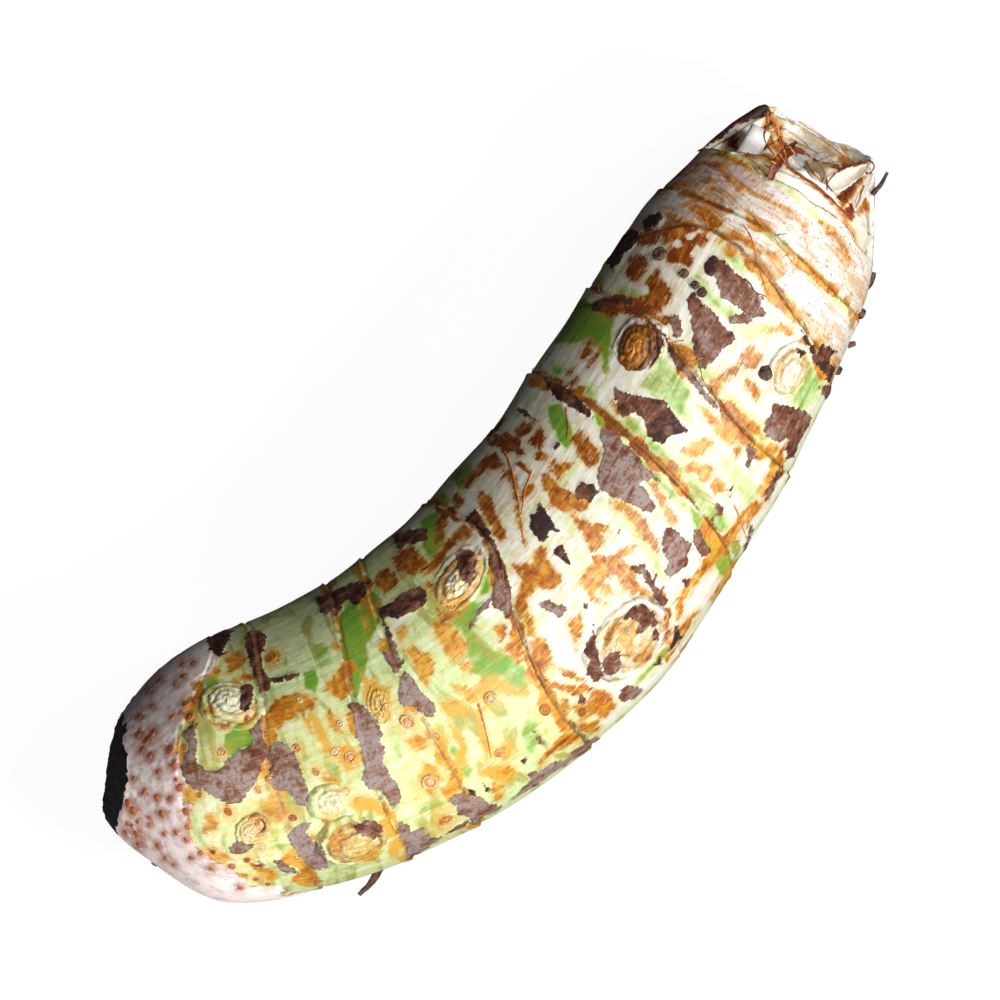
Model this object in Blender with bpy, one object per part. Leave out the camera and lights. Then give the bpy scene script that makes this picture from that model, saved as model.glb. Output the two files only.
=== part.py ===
"""Taro corm: one curved, ringed root with its cut crown of leaf-sheath bases, lying on its side.

Places on the corm are given by u, the distance along its spine from the root end in millimetres,
and by the angle round it in degrees: 0 is the hollow side of the bend (+Y), 90 is up,
180 is the bulging side and 270 is underneath. Sizes are in millimetres until the mesh is written.
"""

import math

import bpy
import numpy as np
from mathutils import Matrix, Vector, noise

METRES_PER_MM = 0.001

# Plan of the spine, x and y, from the root end to the crown.
SPINE_PLAN = (
    (-135.7, 31.1),
    (-95.2, 5.6),
    (-49.9, -9.1),
    (-2.2, -10.3),
    (44.7, -0.2),
    (90.2, 13.6),
    (135.3, 29.4),
)

# Half width of the corm at places along the spine.
GIRTH = (
    (-6.0, 4.5),
    (-2.5, 10.0),
    (0.0, 14.0),
    (5.0, 19.3),
    (18.0, 31.0),
    (30.0, 36.8),
    (48.0, 39.4),
    (72.0, 40.2),
    (119.0, 41.2),
    (143.0, 41.5),
    (167.0, 39.8),
    (191.0, 38.6),
    (215.0, 37.2),
    (238.0, 35.6),
    (250.0, 33.6),
    (262.0, 29.6),
    (275.0, 25.0),
    (288.0, 19.6),
)
FLATNESS = 0.94  # height of the cross-section over its width
LUMP_HEIGHT = 0.9
LUMP_LENGTH = 24.0

# Leaf scars: u at the hollow side, top, bulging side and underneath, how far the scar stands
# out, and how far the flesh above it is drawn in.
LEAF_SCARS = (
    ((36.0, 19.5, 40.0, 38.0), 0.1, 0.4),
    ((51.0, 45.0, 48.0, 50.0), 0.4, 0.5),
    ((82.0, 73.0, 69.0, 76.0), 0.7, 0.6),
    ((98.0, 90.0, 88.0, 97.0), 0.9, 0.5),
    ((133.0, 125.0, 118.0, 126.0), 1.1, 0.7),
    ((162.0, 156.0, 147.0, 155.0), 0.4, 0.2),
    ((186.0, 185.0, 169.0, 176.0), 1.2, 0.7),
    ((216.0, 211.0, 200.0, 206.0), 0.9, 0.7),
    ((230.0, 241.0, 225.0, 223.0), 0.8, 0.6),
    ((252.0, 255.0, 246.0, 246.0), 0.6, 0.7),
)
INTERNODE_STEPS = (0.07, 0.3, 0.6, 0.88, 1.0)
HOLLOW_FALLOFF = 1.5  # how soon the hollow above a scar fills out
SWELL_RISE = 4  # how late the flesh swells towards the next scar

ROOT_FACE_EDGE = (5.7, 4.0, -2.7, -1.0)  # u of the broken root end's rim, at the same four sides
ROOT_FACE_BULGE = 3.6
ROOT_FACE_RINGS = (0.4, 0.75)
BUTT_STEPS = (0.2, 0.42, 0.66, 0.86)

# Sheaths of the cut crown, from the outside in: u of the cut rim at the sides, at the top and
# underneath, share of the crown's radius at the outside and inside of the wall, depth of the
# groove inside it, and shift of the sheath to the hollow side and upwards, again as shares.
SHEATHS = (
    ((260.5, 268.5, 287.5), 1.0, 0.9, 5.0, (0.0, 0.0)),
    ((268.0, 273.5, 282.5), 0.79, 0.7, 8.0, (-0.03, 0.05)),
    ((270.0, 270.0, 279.0), 0.56, 0.46, 6.0, (0.05, -0.03)),
)
HEART = ((268.0, 268.0, 273.0), 0.3, (0.1, -0.02))  # cut stalk in the middle
HEART_TOP_SHARE = 0.5
GROOVE_TAPER = 0.03  # how far a groove narrows to its floor, as a share of the crown's radius
RIM_SLANT = 0.4  # how far a rim falls to its inner edge
RIM_RAGGEDNESS = (1.2, 0.8)  # broad and fine unevenness of a cut rim
RAGGED_WAVES = (2, 5)  # how often each of them turns round the rim
RIM_CLIMB = 0.5  # sine of the angle under the side by which a rim has climbed to its highest
CROWN_STEPS = (0.25, 0.55, 0.8)

ROUND_SIDES = 48
SPINE_SAMPLES = 400

# Where the corm is set down: the underside is pressed flat on the floor at these three places.
REST_PLACES = (45.0, 126.0, 221.0)
REST_LENGTH = 15.0
REST_SINK = 1.1
CLEARANCE_BETWEEN_RESTS = 1.3

# Side buds: u, angle, half length, half width, height, turn of the long axis from the spine.
BUDS = (
    (207.0, 64.0, 10.0, 7.5, 1.0, 20.0),
    (223.4, 130.0, 8.5, 7.0, 1.1, 10.0),
    (121.2, 63.0, 12.0, 7.0, 1.1, 12.0),
    (142.1, 131.0, 12.5, 11.0, 1.2, 0.0),
    (39.2, 62.0, 9.0, 7.0, 1.1, -15.0),
    (60.8, 136.0, 10.5, 9.5, 1.3, 0.0),
    (57.8, 114.0, 5.5, 5.0, 0.9, 0.0),
    (36.8, 117.0, 4.5, 4.5, 0.8, 0.0),
    (80.5, 85.0, 6.0, 3.6, 0.5, 70.0),
    (178.0, 322.0, 9.0, 7.5, 1.0, 0.0),
    (103.0, 228.0, 10.0, 8.0, 1.1, 10.0),
    (66.0, 318.0, 8.0, 7.0, 1.0, 0.0),
)
# Turned outline of a bud: share of its radius, and height over the skin.
BUD_OUTLINE = ((1.2, -3.5), (1.0, 0.3), (0.87, 0.8), (0.77, 0.1), (0.6, 1.6), (0.5, 1.2), (0.3, 2.4))
BUD_TIP = 2.8
BUD_ROOT = 5.6  # depth of a bud's root under the skin
BUD_SIDES = 16
BUD_UNEVENNESS = 0.12
BUD_WAVES = 1.7

# Root scars that stand out as small knobs: u, angle, radius.
KNOBS = (
    (234.4, 47.0, 2.1),
    (232.8, 64.0, 1.4),
    (231.5, 71.5, 1.2),
    (230.6, 76.0, 1.4),
    (219.5, 119.0, 2.3),
    (247.0, 174.0, 2.1),
    (230.5, 177.0, 1.7),
    (214.0, 250.0, 2.0),
    (160.0, 215.0, 1.8),
    (128.0, 335.0, 1.8),
)
KNOB_SINK = 0.35  # share of a knob's radius that its centre lies below the skin

# Short roots and torn fibres: places along each one as u, angle and height over the skin, then
# its radius at the base and at the tip.
STRANDS = (
    (((63.5, 178.0, -2.5), (59.5, 181.0, 1.4), (55.5, 183.0, 4.0)), 1.3, 0.6),
    (((278.0, 198.0, -1.5), (281.5, 196.0, 0.6), (285.5, 194.0, 2.2)), 0.8, 0.4),
    (((254.0, 174.0, -1.2), (256.5, 173.5, 0.7), (258.5, 173.0, 1.5)), 1.4, 0.7),
    (((281.0, 86.0, -9.0), (274.5, 81.0, -0.4), (271.0, 80.0, 0.3), (267.5, 79.0, 0.6)), 1.2, 0.8),
    (((238.0, 181.0, -1.0), (239.5, 181.0, 1.6)), 1.2, 0.6),
    (((84.0, 206.0, -1.2), (82.0, 207.0, 1.6)), 1.4, 0.7),
)
STRAND_SIDES = 7

# A square-cut stub of pale pith among the sheaths: u of its root and of its cut end, distance
# from the spine towards the hollow side and upwards, and half its width each way.
PITH_STUB = ((262.0, 280.0), (15.0, 4.0), (3.7, 4.6))
PITH_STUB_TAPER = 0.82

SKIN_COLOUR = (0.66, 0.62, 0.40, 1.0)
SKIN_ROUGHNESS = 0.55
CREASE_ANGLE = 50.0


def clear_scene():
    for obj in list(bpy.data.objects):
        bpy.data.objects.remove(obj)


def catmull_rom(points, samples):
    """A smooth curve through the points, sampled evenly in each stretch."""
    points = np.array(points, float)
    before = 2 * points[0] - points[1]
    after = 2 * points[-1] - points[-2]
    padded = np.vstack([before, points, after])
    place = np.linspace(0, len(points) - 1, samples)
    stretch = np.minimum(place.astype(int), len(points) - 2)
    t = (place - stretch)[:, None]
    p0, p1, p2, p3 = (padded[stretch + k] for k in range(4))
    return 0.5 * (
        2 * p1
        + (p2 - p0) * t
        + (2 * p0 - 5 * p1 + 4 * p2 - p3) * t**2
        + (3 * p1 - p0 - 3 * p2 + p3) * t**3
    )


PLAN = catmull_rom(SPINE_PLAN, SPINE_SAMPLES)
STEP_LENGTHS = np.hypot(*np.diff(PLAN, axis=0).T)
PLAN_U = np.concatenate([[0.0], np.cumsum(STEP_LENGTHS)])
GIRTH_CURVE = catmull_rom(GIRTH, SPINE_SAMPLES)


def girth(u):
    return np.interp(u, GIRTH_CURVE[:, 0], GIRTH_CURVE[:, 1])


def rest_lift(u):
    """Height of the plain underside over the floor, less than nothing where it is pressed flat."""
    dips = sum(np.exp(-(((u - place) / REST_LENGTH) ** 2)) for place in REST_PLACES)
    dips = np.clip(dips, 0, 1)
    return CLEARANCE_BETWEEN_RESTS - (CLEARANCE_BETWEEN_RESTS + REST_SINK) * dips


def spine(u):
    """Centre, direction and leftward direction of the spine at u, which may run past its ends."""
    u = np.asarray(u, float)
    inside = np.clip(u, 0, PLAN_U[-1])
    centre = np.stack([np.interp(inside, PLAN_U, PLAN[:, k]) for k in range(2)], -1)
    slopes = np.gradient(PLAN, PLAN_U, axis=0)
    along = np.stack([np.interp(inside, PLAN_U, slopes[:, k]) for k in range(2)], -1)
    along /= np.linalg.norm(along, axis=-1, keepdims=True)
    centre = centre + along * (u - inside)[..., None]
    left = np.stack([-along[..., 1], along[..., 0]], -1)
    height = FLATNESS * girth(np.clip(u, REST_PLACES[0], REST_PLACES[2])) + rest_lift(u)
    return centre, along, left, height


def place_on_corm(u, angle, radius):
    """Points at u, an angle round in radians, and a distance from the spine."""
    centre, _, left, height = spine(u)
    across = radius * np.cos(angle)
    up = FLATNESS * radius * np.sin(angle)
    return np.concatenate([centre + left * across[..., None], (height + up)[..., None]], -1)


def four_sided(values, angle):
    """A smooth value round the corm from those at its hollow side, top, bulging side and underside."""
    hollow, top, bulge, under = values
    mean = sum(values) / 4
    return (
        mean
        + (hollow - bulge) / 2 * np.cos(angle)
        + (top - under) / 2 * np.sin(angle)
        + (hollow + bulge - top - under) / 4 * np.cos(2 * angle)
    )


def lumps(u, angle):
    """Broad unevenness of the flesh."""
    radius = girth(u)
    x = u / LUMP_LENGTH
    y = radius * np.cos(angle) / LUMP_LENGTH
    z = radius * np.sin(angle) / LUMP_LENGTH
    values = [noise.noise(Vector(p)) for p in zip(x.ravel(), y.ravel(), z.ravel())]
    return LUMP_HEIGHT * np.array(values).reshape(x.shape)


def body_row(u, angle, relief):
    return place_on_corm(u, angle, girth(u) + relief + lumps(u, angle))


def butt_rows(angle):
    """The broken root end: a centre point, rings across its face, and its rounded shoulder."""
    edge_u = four_sided(ROOT_FACE_EDGE, angle)
    edge = body_row(edge_u, angle, 0.0)
    centre = edge.mean(axis=0)
    _, along, _, _ = spine(np.array(0.0))
    bulge = np.array([*(-along * ROOT_FACE_BULGE), 0.0])
    rows = [
        centre + (edge - centre) * share + bulge * (1 - share**2) for share in ROOT_FACE_RINGS
    ]
    rows.append(edge)
    first_scar = four_sided(LEAF_SCARS[0][0], angle)
    for step in BUTT_STEPS:
        rows.append(body_row(edge_u + (first_scar - edge_u) * step, angle, 0.0))
    rows.append(body_row(first_scar, angle, LEAF_SCARS[0][1]))
    return centre + bulge, rows


def internode_rows(angle):
    """Rings from each leaf scar to the next: drawn in above a scar, swelling to the next one."""
    rows = []
    for (low, _, drawn_in), (high, stands, _) in zip(LEAF_SCARS, LEAF_SCARS[1:]):
        low_u = four_sided(low, angle)
        high_u = four_sided(high, angle)
        for step in INTERNODE_STEPS:
            u = low_u + (high_u - low_u) * step
            relief = -drawn_in * (1 - step) ** HOLLOW_FALLOFF + stands * step**SWELL_RISE
            rows.append(body_row(u, angle, relief))
    return rows


def rim_u(rim, angle):
    """The slanting cut across the crown: low at the sides, a little higher on top, highest underneath."""
    side, top, under = rim
    height = np.sin(angle)
    climb = np.clip(-height / RIM_CLIMB, 0, 1)
    climb = climb * climb * (3 - 2 * climb)
    return side + (top - side) * np.maximum(height, 0) ** 2 + (under - side) * climb


def ragged(angle, seed):
    """Unevenness of a cut rim."""
    heights = []
    for a in angle:
        round_it = Vector((math.cos(a), math.sin(a), seed))
        waves = [size * noise.noise(round_it * wave) for size, wave in zip(RIM_RAGGEDNESS, RAGGED_WAVES)]
        heights.append(sum(waves))
    return np.array(heights)


def crown_rows(angle):
    """The cut crown: the outer sheath, then nested grooves and sheath rims down to the heart."""
    last_scar, _, drawn_in = LEAF_SCARS[-1]
    scar_u = four_sided(last_scar, angle)
    outer_u = rim_u(SHEATHS[0][0], angle) + ragged(angle, 1.0)
    rows = []
    for step in CROWN_STEPS:
        rows.append(body_row(scar_u + (outer_u - scar_u) * step, angle, -drawn_in * (1 - step)))
    crown_radius = girth(outer_u)

    def ring(u, share, shift):
        to_hollow, up = shift
        return place_on_corm(
            u, angle, crown_radius * (share + to_hollow * np.cos(angle) + up * np.sin(angle))
        )

    floor_u = outer_u
    for number, (rim, outside, inside, groove, shift) in enumerate(SHEATHS):
        wall_u = rim_u(rim, angle) + ragged(angle, 1.0 + number)
        if number:
            rows.append(ring(floor_u, outside + GROOVE_TAPER, shift))
        rows.append(ring(wall_u, outside, shift))
        rows.append(ring(wall_u - RIM_SLANT, inside, shift))
        floor_u = wall_u - groove
        rows.append(ring(floor_u, inside - GROOVE_TAPER, shift))
    heart, heart_radius, heart_shift = HEART
    heart_u = rim_u(heart, angle)
    rows.append(ring(floor_u, heart_radius + GROOVE_TAPER, heart_shift))
    rows.append(ring(heart_u, heart_radius, heart_shift))
    rows.append(ring(heart_u, heart_radius * HEART_TOP_SHARE, heart_shift))
    return rows, rows[-1].mean(axis=0)


def new_object(name, points, faces):
    mesh = bpy.data.meshes.new(name)
    mesh.from_pydata([tuple(p * METRES_PER_MM) for p in points], [], faces)
    mesh.validate()
    obj = bpy.data.objects.new(name, mesh)
    bpy.context.scene.collection.objects.link(obj)
    return obj


def closed_faces(rows, sides):
    """Faces of a closed skin over rings of points, with a first and a last point that close its ends."""
    first, last = 0, rows * sides + 1
    faces = []
    for k in range(sides):
        after = (k + 1) % sides
        faces.append((first, 1 + after, 1 + k))
        faces.append((last, 1 + (rows - 1) * sides + k, 1 + (rows - 1) * sides + after))
        for row in range(rows - 1):
            low, high = 1 + row * sides, 1 + (row + 1) * sides
            faces.append((low + k, low + after, high + after, high + k))
    return faces


def make_flesh():
    """The corm itself, from the root end to the heart of the crown, set down on the floor."""
    angle = np.linspace(0, 2 * math.pi, ROUND_SIDES, endpoint=False)
    root_centre, rows = butt_rows(angle)
    rows += internode_rows(angle)
    crown, heart_centre = crown_rows(angle)
    rows += crown
    points = np.vstack([root_centre, *rows, heart_centre])
    points[:, 2] = np.maximum(points[:, 2], 0.0)
    return new_object("taro_corm", points, closed_faces(len(rows), ROUND_SIDES))


def skin_frame(u, angle_degrees):
    """Point on the plain skin with the directions out of it, along the corm and round it."""
    angle = math.radians(angle_degrees)
    _, along, left, _ = spine(np.array(u))
    radius = girth(np.array(u))
    point = place_on_corm(np.array(u), np.array(angle), radius)
    out = np.array([*(left * math.cos(angle) * FLATNESS), math.sin(angle)])
    out /= np.linalg.norm(out)
    along = np.array([*along, 0.0])
    return point, out, along, np.cross(out, along), float(radius)


def make_bud(number, bud):
    """A side bud: a collar round two overlapping scales and a blunt tip, bent to the corm's skin."""
    u, angle, half_length, half_width, height, turn = bud
    point, out, along, round_it, radius = skin_frame(u, angle)
    turned = math.radians(turn)
    long_way = along * math.cos(turned) + round_it * math.sin(turned)
    short_way = round_it * math.cos(turned) - along * math.sin(turned)
    points = [point - out * BUD_ROOT]
    for share, rise in BUD_OUTLINE:
        for k in range(BUD_SIDES):
            a = 2 * math.pi * k / BUD_SIDES
            where = Vector((math.cos(a), math.sin(a), number + share))
            wide = share * (1 + BUD_UNEVENNESS * noise.noise(where * BUD_WAVES))
            offset = long_way * half_length * math.cos(a) + short_way * half_width * math.sin(a)
            offset = offset * wide
            drop = float(offset @ round_it) ** 2 / (2 * radius)
            points.append(point + offset + out * (rise * height - drop))
    points.append(point + out * BUD_TIP * height)
    faces = closed_faces(len(BUD_OUTLINE), BUD_SIDES)
    return new_object(f"bud_{number}", np.array(points), faces)


def make_knob(number, knob):
    u, angle, radius = knob
    point, out, _, _, _ = skin_frame(u, angle)
    bpy.ops.mesh.primitive_ico_sphere_add(
        subdivisions=2,
        radius=radius * METRES_PER_MM,
        location=(point - out * radius * KNOB_SINK) * METRES_PER_MM,
    )
    obj = bpy.context.active_object
    obj.name = f"knob_{number}"
    return obj


def make_strand(number, strand):
    """A short root or torn fibre: a tapered tube through its places."""
    places, base_radius, tip_radius = strand
    middles = []
    for u, angle, height in places:
        point, out, _, _, _ = skin_frame(u, angle)
        middles.append(point + out * height)
    points = [middles[0]]
    for k, middle in enumerate(middles):
        before = middles[max(k - 1, 0)]
        after = middles[min(k + 1, len(middles) - 1)]
        way = (after - before) / np.linalg.norm(after - before)
        side = np.cross(way, (0.0, 0.0, 1.0))
        side /= np.linalg.norm(side)
        other = np.cross(way, side)
        radius = base_radius + (tip_radius - base_radius) * k / (len(middles) - 1)
        for corner in range(STRAND_SIDES):
            a = 2 * math.pi * corner / STRAND_SIDES
            points.append(middle + (side * math.cos(a) + other * math.sin(a)) * radius)
    points.append(middles[-1])
    faces = closed_faces(len(middles), STRAND_SIDES)
    return new_object(f"strand_{number}", np.array(points), faces)


def make_pith_stub():
    """A square-cut stub of pith that stands among the sheaths."""
    (start, end), (to_hollow, up), (half_across, half_up) = PITH_STUB
    points = []
    for u, size in ((start, 1.0), (end, PITH_STUB_TAPER)):
        centre, _, left, height = spine(np.array(u))
        for across, rise in ((-1, -1), (1, -1), (1, 1), (-1, 1)):
            sideways = left * (to_hollow + across * half_across * size)
            points.append([*(centre + sideways), float(height) + up + rise * half_up * size])
    faces = [(3, 2, 1, 0), (4, 5, 6, 7)]
    faces += [(k, (k + 1) % 4, 4 + (k + 1) % 4, 4 + k) for k in range(4)]
    return new_object("pith_stub", np.array(points), faces)


def face_outwards(obj):
    """Turns a closed mesh so that its faces point out."""
    mesh = obj.data
    mesh.calc_loop_triangles()
    volume = sum(
        mesh.vertices[t.vertices[0]].co.dot(
            mesh.vertices[t.vertices[1]].co.cross(mesh.vertices[t.vertices[2]].co)
        )
        for t in mesh.loop_triangles
    )
    if volume < 0:
        mesh.flip_normals()


def grow_into(flesh, growths):
    """Joins the growths to the flesh as one body and removes their own objects."""
    group = bpy.data.collections.new("growths")
    bpy.context.scene.collection.children.link(group)
    for obj in growths:
        for owner in list(obj.users_collection):
            owner.objects.unlink(obj)
        group.objects.link(obj)
    union = flesh.modifiers.new("grown_together", "BOOLEAN")
    union.operation = "UNION"
    union.solver = "EXACT"
    union.operand_type = "COLLECTION"
    union.collection = group
    bpy.context.view_layer.objects.active = flesh
    bpy.ops.object.modifier_apply(modifier=union.name)
    for obj in growths:
        bpy.data.objects.remove(obj)
    bpy.data.collections.remove(group)


def centre_on_origin(obj):
    """Moves the mesh so that the middle of its base is the origin."""
    corners = np.array([v.co for v in obj.data.vertices])
    middle = (corners.min(axis=0) + corners.max(axis=0)) / 2
    obj.data.transform(Matrix.Translation((-middle[0], -middle[1], -corners[:, 2].min())))


def skin_material():
    material = bpy.data.materials.new("taro_skin")
    material.use_nodes = True
    shader = material.node_tree.nodes["Principled BSDF"]
    shader.inputs["Base Color"].default_value = SKIN_COLOUR
    shader.inputs["Roughness"].default_value = SKIN_ROUGHNESS
    shader.inputs["Metallic"].default_value = 0.0
    return material


def main():
    clear_scene()
    flesh = make_flesh()
    growths = [make_bud(n, bud) for n, bud in enumerate(BUDS)]
    growths += [make_knob(n, knob) for n, knob in enumerate(KNOBS)]
    growths += [make_strand(n, strand) for n, strand in enumerate(STRANDS)]
    growths.append(make_pith_stub())
    for obj in [flesh, *growths]:
        face_outwards(obj)
    grow_into(flesh, growths)
    centre_on_origin(flesh)
    flesh.data.materials.clear()
    flesh.data.materials.append(skin_material())
    flesh.data.shade_smooth()
    flesh.data.set_sharp_from_angle(angle=math.radians(CREASE_ANGLE))


main()
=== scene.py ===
# One taro corm on a pale floor: scraped flesh with what is left of its skin, leaf scars,
# side buds, root scars and the cut crown of leaf-sheath bases.
import math

import bpy
import numpy as np
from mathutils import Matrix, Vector, noise
from mathutils.bvhtree import BVHTree


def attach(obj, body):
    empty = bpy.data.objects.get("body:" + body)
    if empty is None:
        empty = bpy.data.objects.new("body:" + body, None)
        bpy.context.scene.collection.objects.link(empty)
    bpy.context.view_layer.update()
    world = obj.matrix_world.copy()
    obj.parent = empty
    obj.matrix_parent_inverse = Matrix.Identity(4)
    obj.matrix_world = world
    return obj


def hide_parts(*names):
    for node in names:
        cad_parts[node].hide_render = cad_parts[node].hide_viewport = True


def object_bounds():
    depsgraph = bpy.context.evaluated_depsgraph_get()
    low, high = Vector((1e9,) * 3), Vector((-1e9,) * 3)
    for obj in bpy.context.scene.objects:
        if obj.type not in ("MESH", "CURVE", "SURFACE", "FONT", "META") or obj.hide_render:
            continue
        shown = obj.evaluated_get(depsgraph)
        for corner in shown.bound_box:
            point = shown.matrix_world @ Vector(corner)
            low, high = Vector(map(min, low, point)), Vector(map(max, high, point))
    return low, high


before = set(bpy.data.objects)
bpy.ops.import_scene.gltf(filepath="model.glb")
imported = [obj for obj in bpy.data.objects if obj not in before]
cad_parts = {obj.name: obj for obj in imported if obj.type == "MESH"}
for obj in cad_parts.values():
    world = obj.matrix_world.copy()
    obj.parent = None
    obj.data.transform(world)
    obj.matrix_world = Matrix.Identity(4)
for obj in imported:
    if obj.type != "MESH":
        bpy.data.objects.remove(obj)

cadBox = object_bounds()
mm = 0.001
print("frame loaded")

# The photograph's view: what its middle looks at and the picture's width there, in mm.
overhead = {
    "middle": (-0.275, 17.804, 38.0),
    "turn": math.radians(43.3),
    "height": 3000.0,
    "across": 280.0,
    "pixels": 1000,
    "sensor": 36.0,
}

# The corm's form in mm. u runs along its spine from the root end, and the angle round it is
# 0 at the hollow side of the bend, 90 on top, 180 at the bulging side and 270 underneath.
form = {
    "plan": ((-135.7, 31.1), (-95.2, 5.6), (-49.9, -9.1), (-2.2, -10.3), (44.7, -0.2), (90.2, 13.6),
             (135.3, 29.4)),
    "girth": ((-6, 4.5), (-2.5, 10), (0, 14), (5, 19.3), (18, 31), (30, 36.8), (48, 39.4), (72, 40.2),
              (119, 41.2), (143, 41.5), (167, 39.8), (191, 38.6), (215, 37.2), (238, 35.6),
              (250, 33.6), (262, 29.6), (275, 25), (288, 19.6)),
    "flatness": 0.94,
    "lumpHeight": 0.9,
    "lumpLength": 24.0,
    "restPlaces": (45.0, 126.0, 221.0),
    "restLength": 15.0,
    "restSink": 1.1,
    "clearance": 1.3,
    "shift": (0.625, 2.104),
}

# Leaf scars: u at every 30 degrees round the corm, how far the scar stands out, how far the
# flesh above it is drawn in, and how dark its line is.
leafScars = (
    ((36.3, 36.3, 24.6, 19.7, 21.7, 34.8, 43.7, 43, 40, 38, 37, 36.5), 0.1, 0.4, 0.2),
    ((50.2, 52.9, 50, 45.2, 45.4, 46.7, 47.8, 49, 50, 50, 50, 50), 0.4, 0.5, 0.6),
    ((82.6, 82.5, 77.7, 72.3, 69.7, 70.2, 70.2, 72, 74, 76, 79, 81.5), 0.7, 0.6, 0.65),
    ((99.8, 96.9, 91.3, 89, 88.7, 88, 87.6, 90, 94, 97, 99, 100), 0.9, 0.5, 0.6),
    ((130.1, 133.9, 135.5, 125.1, 118.5, 117.5, 117.4, 119.5, 123, 126, 128, 129), 1.1, 0.7, 0.8),
    ((166, 166, 165, 158, 152.6, 149.7, 147, 149, 152, 155, 159, 163), 0.4, 0.2, 0.15),
    ((185.8, 187.6, 187.2, 184.2, 179.2, 173.8, 169.2, 170.5, 173, 176, 180, 184), 1.2, 0.7, 0.8),
    ((217, 216.8, 217.4, 210.5, 203.6, 200.7, 200.2, 201.5, 204, 206, 210, 214.5), 0.9, 0.7, 0.7),
    ((225.7, 237.1, 247.1, 245, 237, 230.7, 224.2, 222, 222, 223, 224, 225), 0.8, 0.6, 0.7),
    ((252.1, 253.3, 254.4, 254.7, 250.4, 246.8, 245.6, 245.5, 246, 246, 248, 250.5), 0.6, 0.7, 0.6),
)


def between(a, b, c, d, t):
    # A smooth curve from b to c, on its way from a to d.
    return 0.5 * (2 * b + (c - a) * t + (2 * a - 5 * b + 4 * c - d) * t**2 + (3 * b - a - 3 * c + d) * t**3)


def smoothCurve(points, samples):
    points = np.array(points, float)
    padded = np.vstack([2 * points[0] - points[1], points, 2 * points[-1] - points[-2]])
    place = np.linspace(0, len(points) - 1, samples)
    stretch = np.minimum(place.astype(int), len(points) - 2)
    return between(*(padded[stretch + k] for k in range(4)), (place - stretch)[:, None])


def unit(vectors):
    return vectors / np.linalg.norm(vectors, axis=-1, keepdims=True)


planLine = smoothCurve(form["plan"], 400)
planU = np.concatenate([[0.0], np.cumsum(np.hypot(*np.diff(planLine, axis=0).T))])
planSlopes = np.gradient(planLine, planU, axis=0)
girthLine = smoothCurve(form["girth"], 400)


def smoothStep(value, low, high):
    t = np.clip((value - low) / (high - low), 0, 1)
    return t * t * (3 - 2 * t)


def girthAt(u):
    return np.interp(u, girthLine[:, 0], girthLine[:, 1])


def spineAt(u):
    # Middle, direction, leftward direction and height of the spine.
    u = np.asarray(u, float)
    inside = np.clip(u, 0, planU[-1])
    middle, along = (np.stack([np.interp(inside, planU, line[:, k]) for k in range(2)], -1)
                     for line in (planLine, planSlopes))
    along = unit(along)
    middle = middle + along * (u - inside)[..., None]
    left = np.stack([-along[..., 1], along[..., 0]], -1)
    dips = sum(np.exp(-(((u - place) / form["restLength"]) ** 2)) for place in form["restPlaces"])
    lift = form["clearance"] - (form["clearance"] + form["restSink"]) * np.clip(dips, 0, 1)
    low, high = form["restPlaces"][0], form["restPlaces"][-1]
    height = form["flatness"] * girthAt(np.clip(u, low, high)) + lift
    return middle, along, left, height


def onCorm(u, angle, radius):
    # Points at u, an angle round in radians and a distance from the spine.
    middle, _, left, height = spineAt(u)
    plan = middle + left * (radius * np.cos(angle))[..., None] + np.array(form["shift"])
    return np.concatenate([plan, (height + form["flatness"] * radius * np.sin(angle))[..., None]], -1)


def skinFrame(u, angle):
    # A point on the plain skin with the directions out of it, along the corm and round it.
    u, angle = np.array(float(u)), np.array(math.radians(angle))
    _, along, left, _ = spineAt(u)
    out = unit(np.array([*(left * math.cos(angle) * form["flatness"]), math.sin(angle)]))
    along = np.array([*along, 0.0])
    return onCorm(u, angle, girthAt(u)), out, along, np.cross(out, along), float(girthAt(u))


def noiseAt(points, length, seed=0.0):
    # Smooth noise, about -0.6 to 0.6, at points in mm.
    points = np.asarray(points, float)
    scaled = points.reshape(-1, 3) / length + seed
    return np.array([noise.noise(p) for p in scaled.tolist()]).reshape(points.shape[:-1])


def unbent(u, angle, radius):
    # The corm as if its spine were straight, so that the grain follows the bend.
    u, angle, radius = np.broadcast_arrays(u, angle, radius)
    return np.stack([u, radius * np.cos(angle), radius * np.sin(angle)], -1)


def lumpsAt(u, angle):
    return form["lumpHeight"] * noiseAt(unbent(u, angle, girthAt(u)), form["lumpLength"])


def roundCorm(values, angle):
    # A smooth value round the corm from those at every 30 degrees.
    values = np.array(values, float)
    place = np.asarray(angle) / (2 * math.pi) * len(values)
    k = np.floor(place).astype(int)
    a, b, c, d = (values[(k + j) % len(values)] for j in (-1, 0, 1, 2))
    return between(a, b, c, d, place - k)


turn = overhead["turn"]
pictureRight = np.array([math.cos(turn), -math.sin(turn)])
pictureUp = np.array([math.sin(turn), math.cos(turn)])
pixel = overhead["across"] / overhead["pixels"]  # mm


def inPicture(points):
    # Where points in mm show in the photograph, in its pixels.
    middle = overhead["middle"]
    flat = points[..., :2] - np.array(middle[:2])
    near = overhead["height"] / (overhead["height"] - (points[..., 2] - middle[2]))
    half = overhead["pixels"] / 2
    return half + flat @ pictureRight * near / pixel, half - flat @ pictureUp * near / pixel


def fromPicture(x, y, height):
    # The place in mm, at a height over the floor, that a pixel of the photograph shows.
    middle = overhead["middle"]
    near = overhead["height"] / (overhead["height"] - (height - middle[2]))
    half = overhead["pixels"] / 2
    plan = np.array(middle[:2]) + (pictureRight * (x - half) + pictureUp * (half - y)) * pixel / near
    return np.array([*plan, height])


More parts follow.
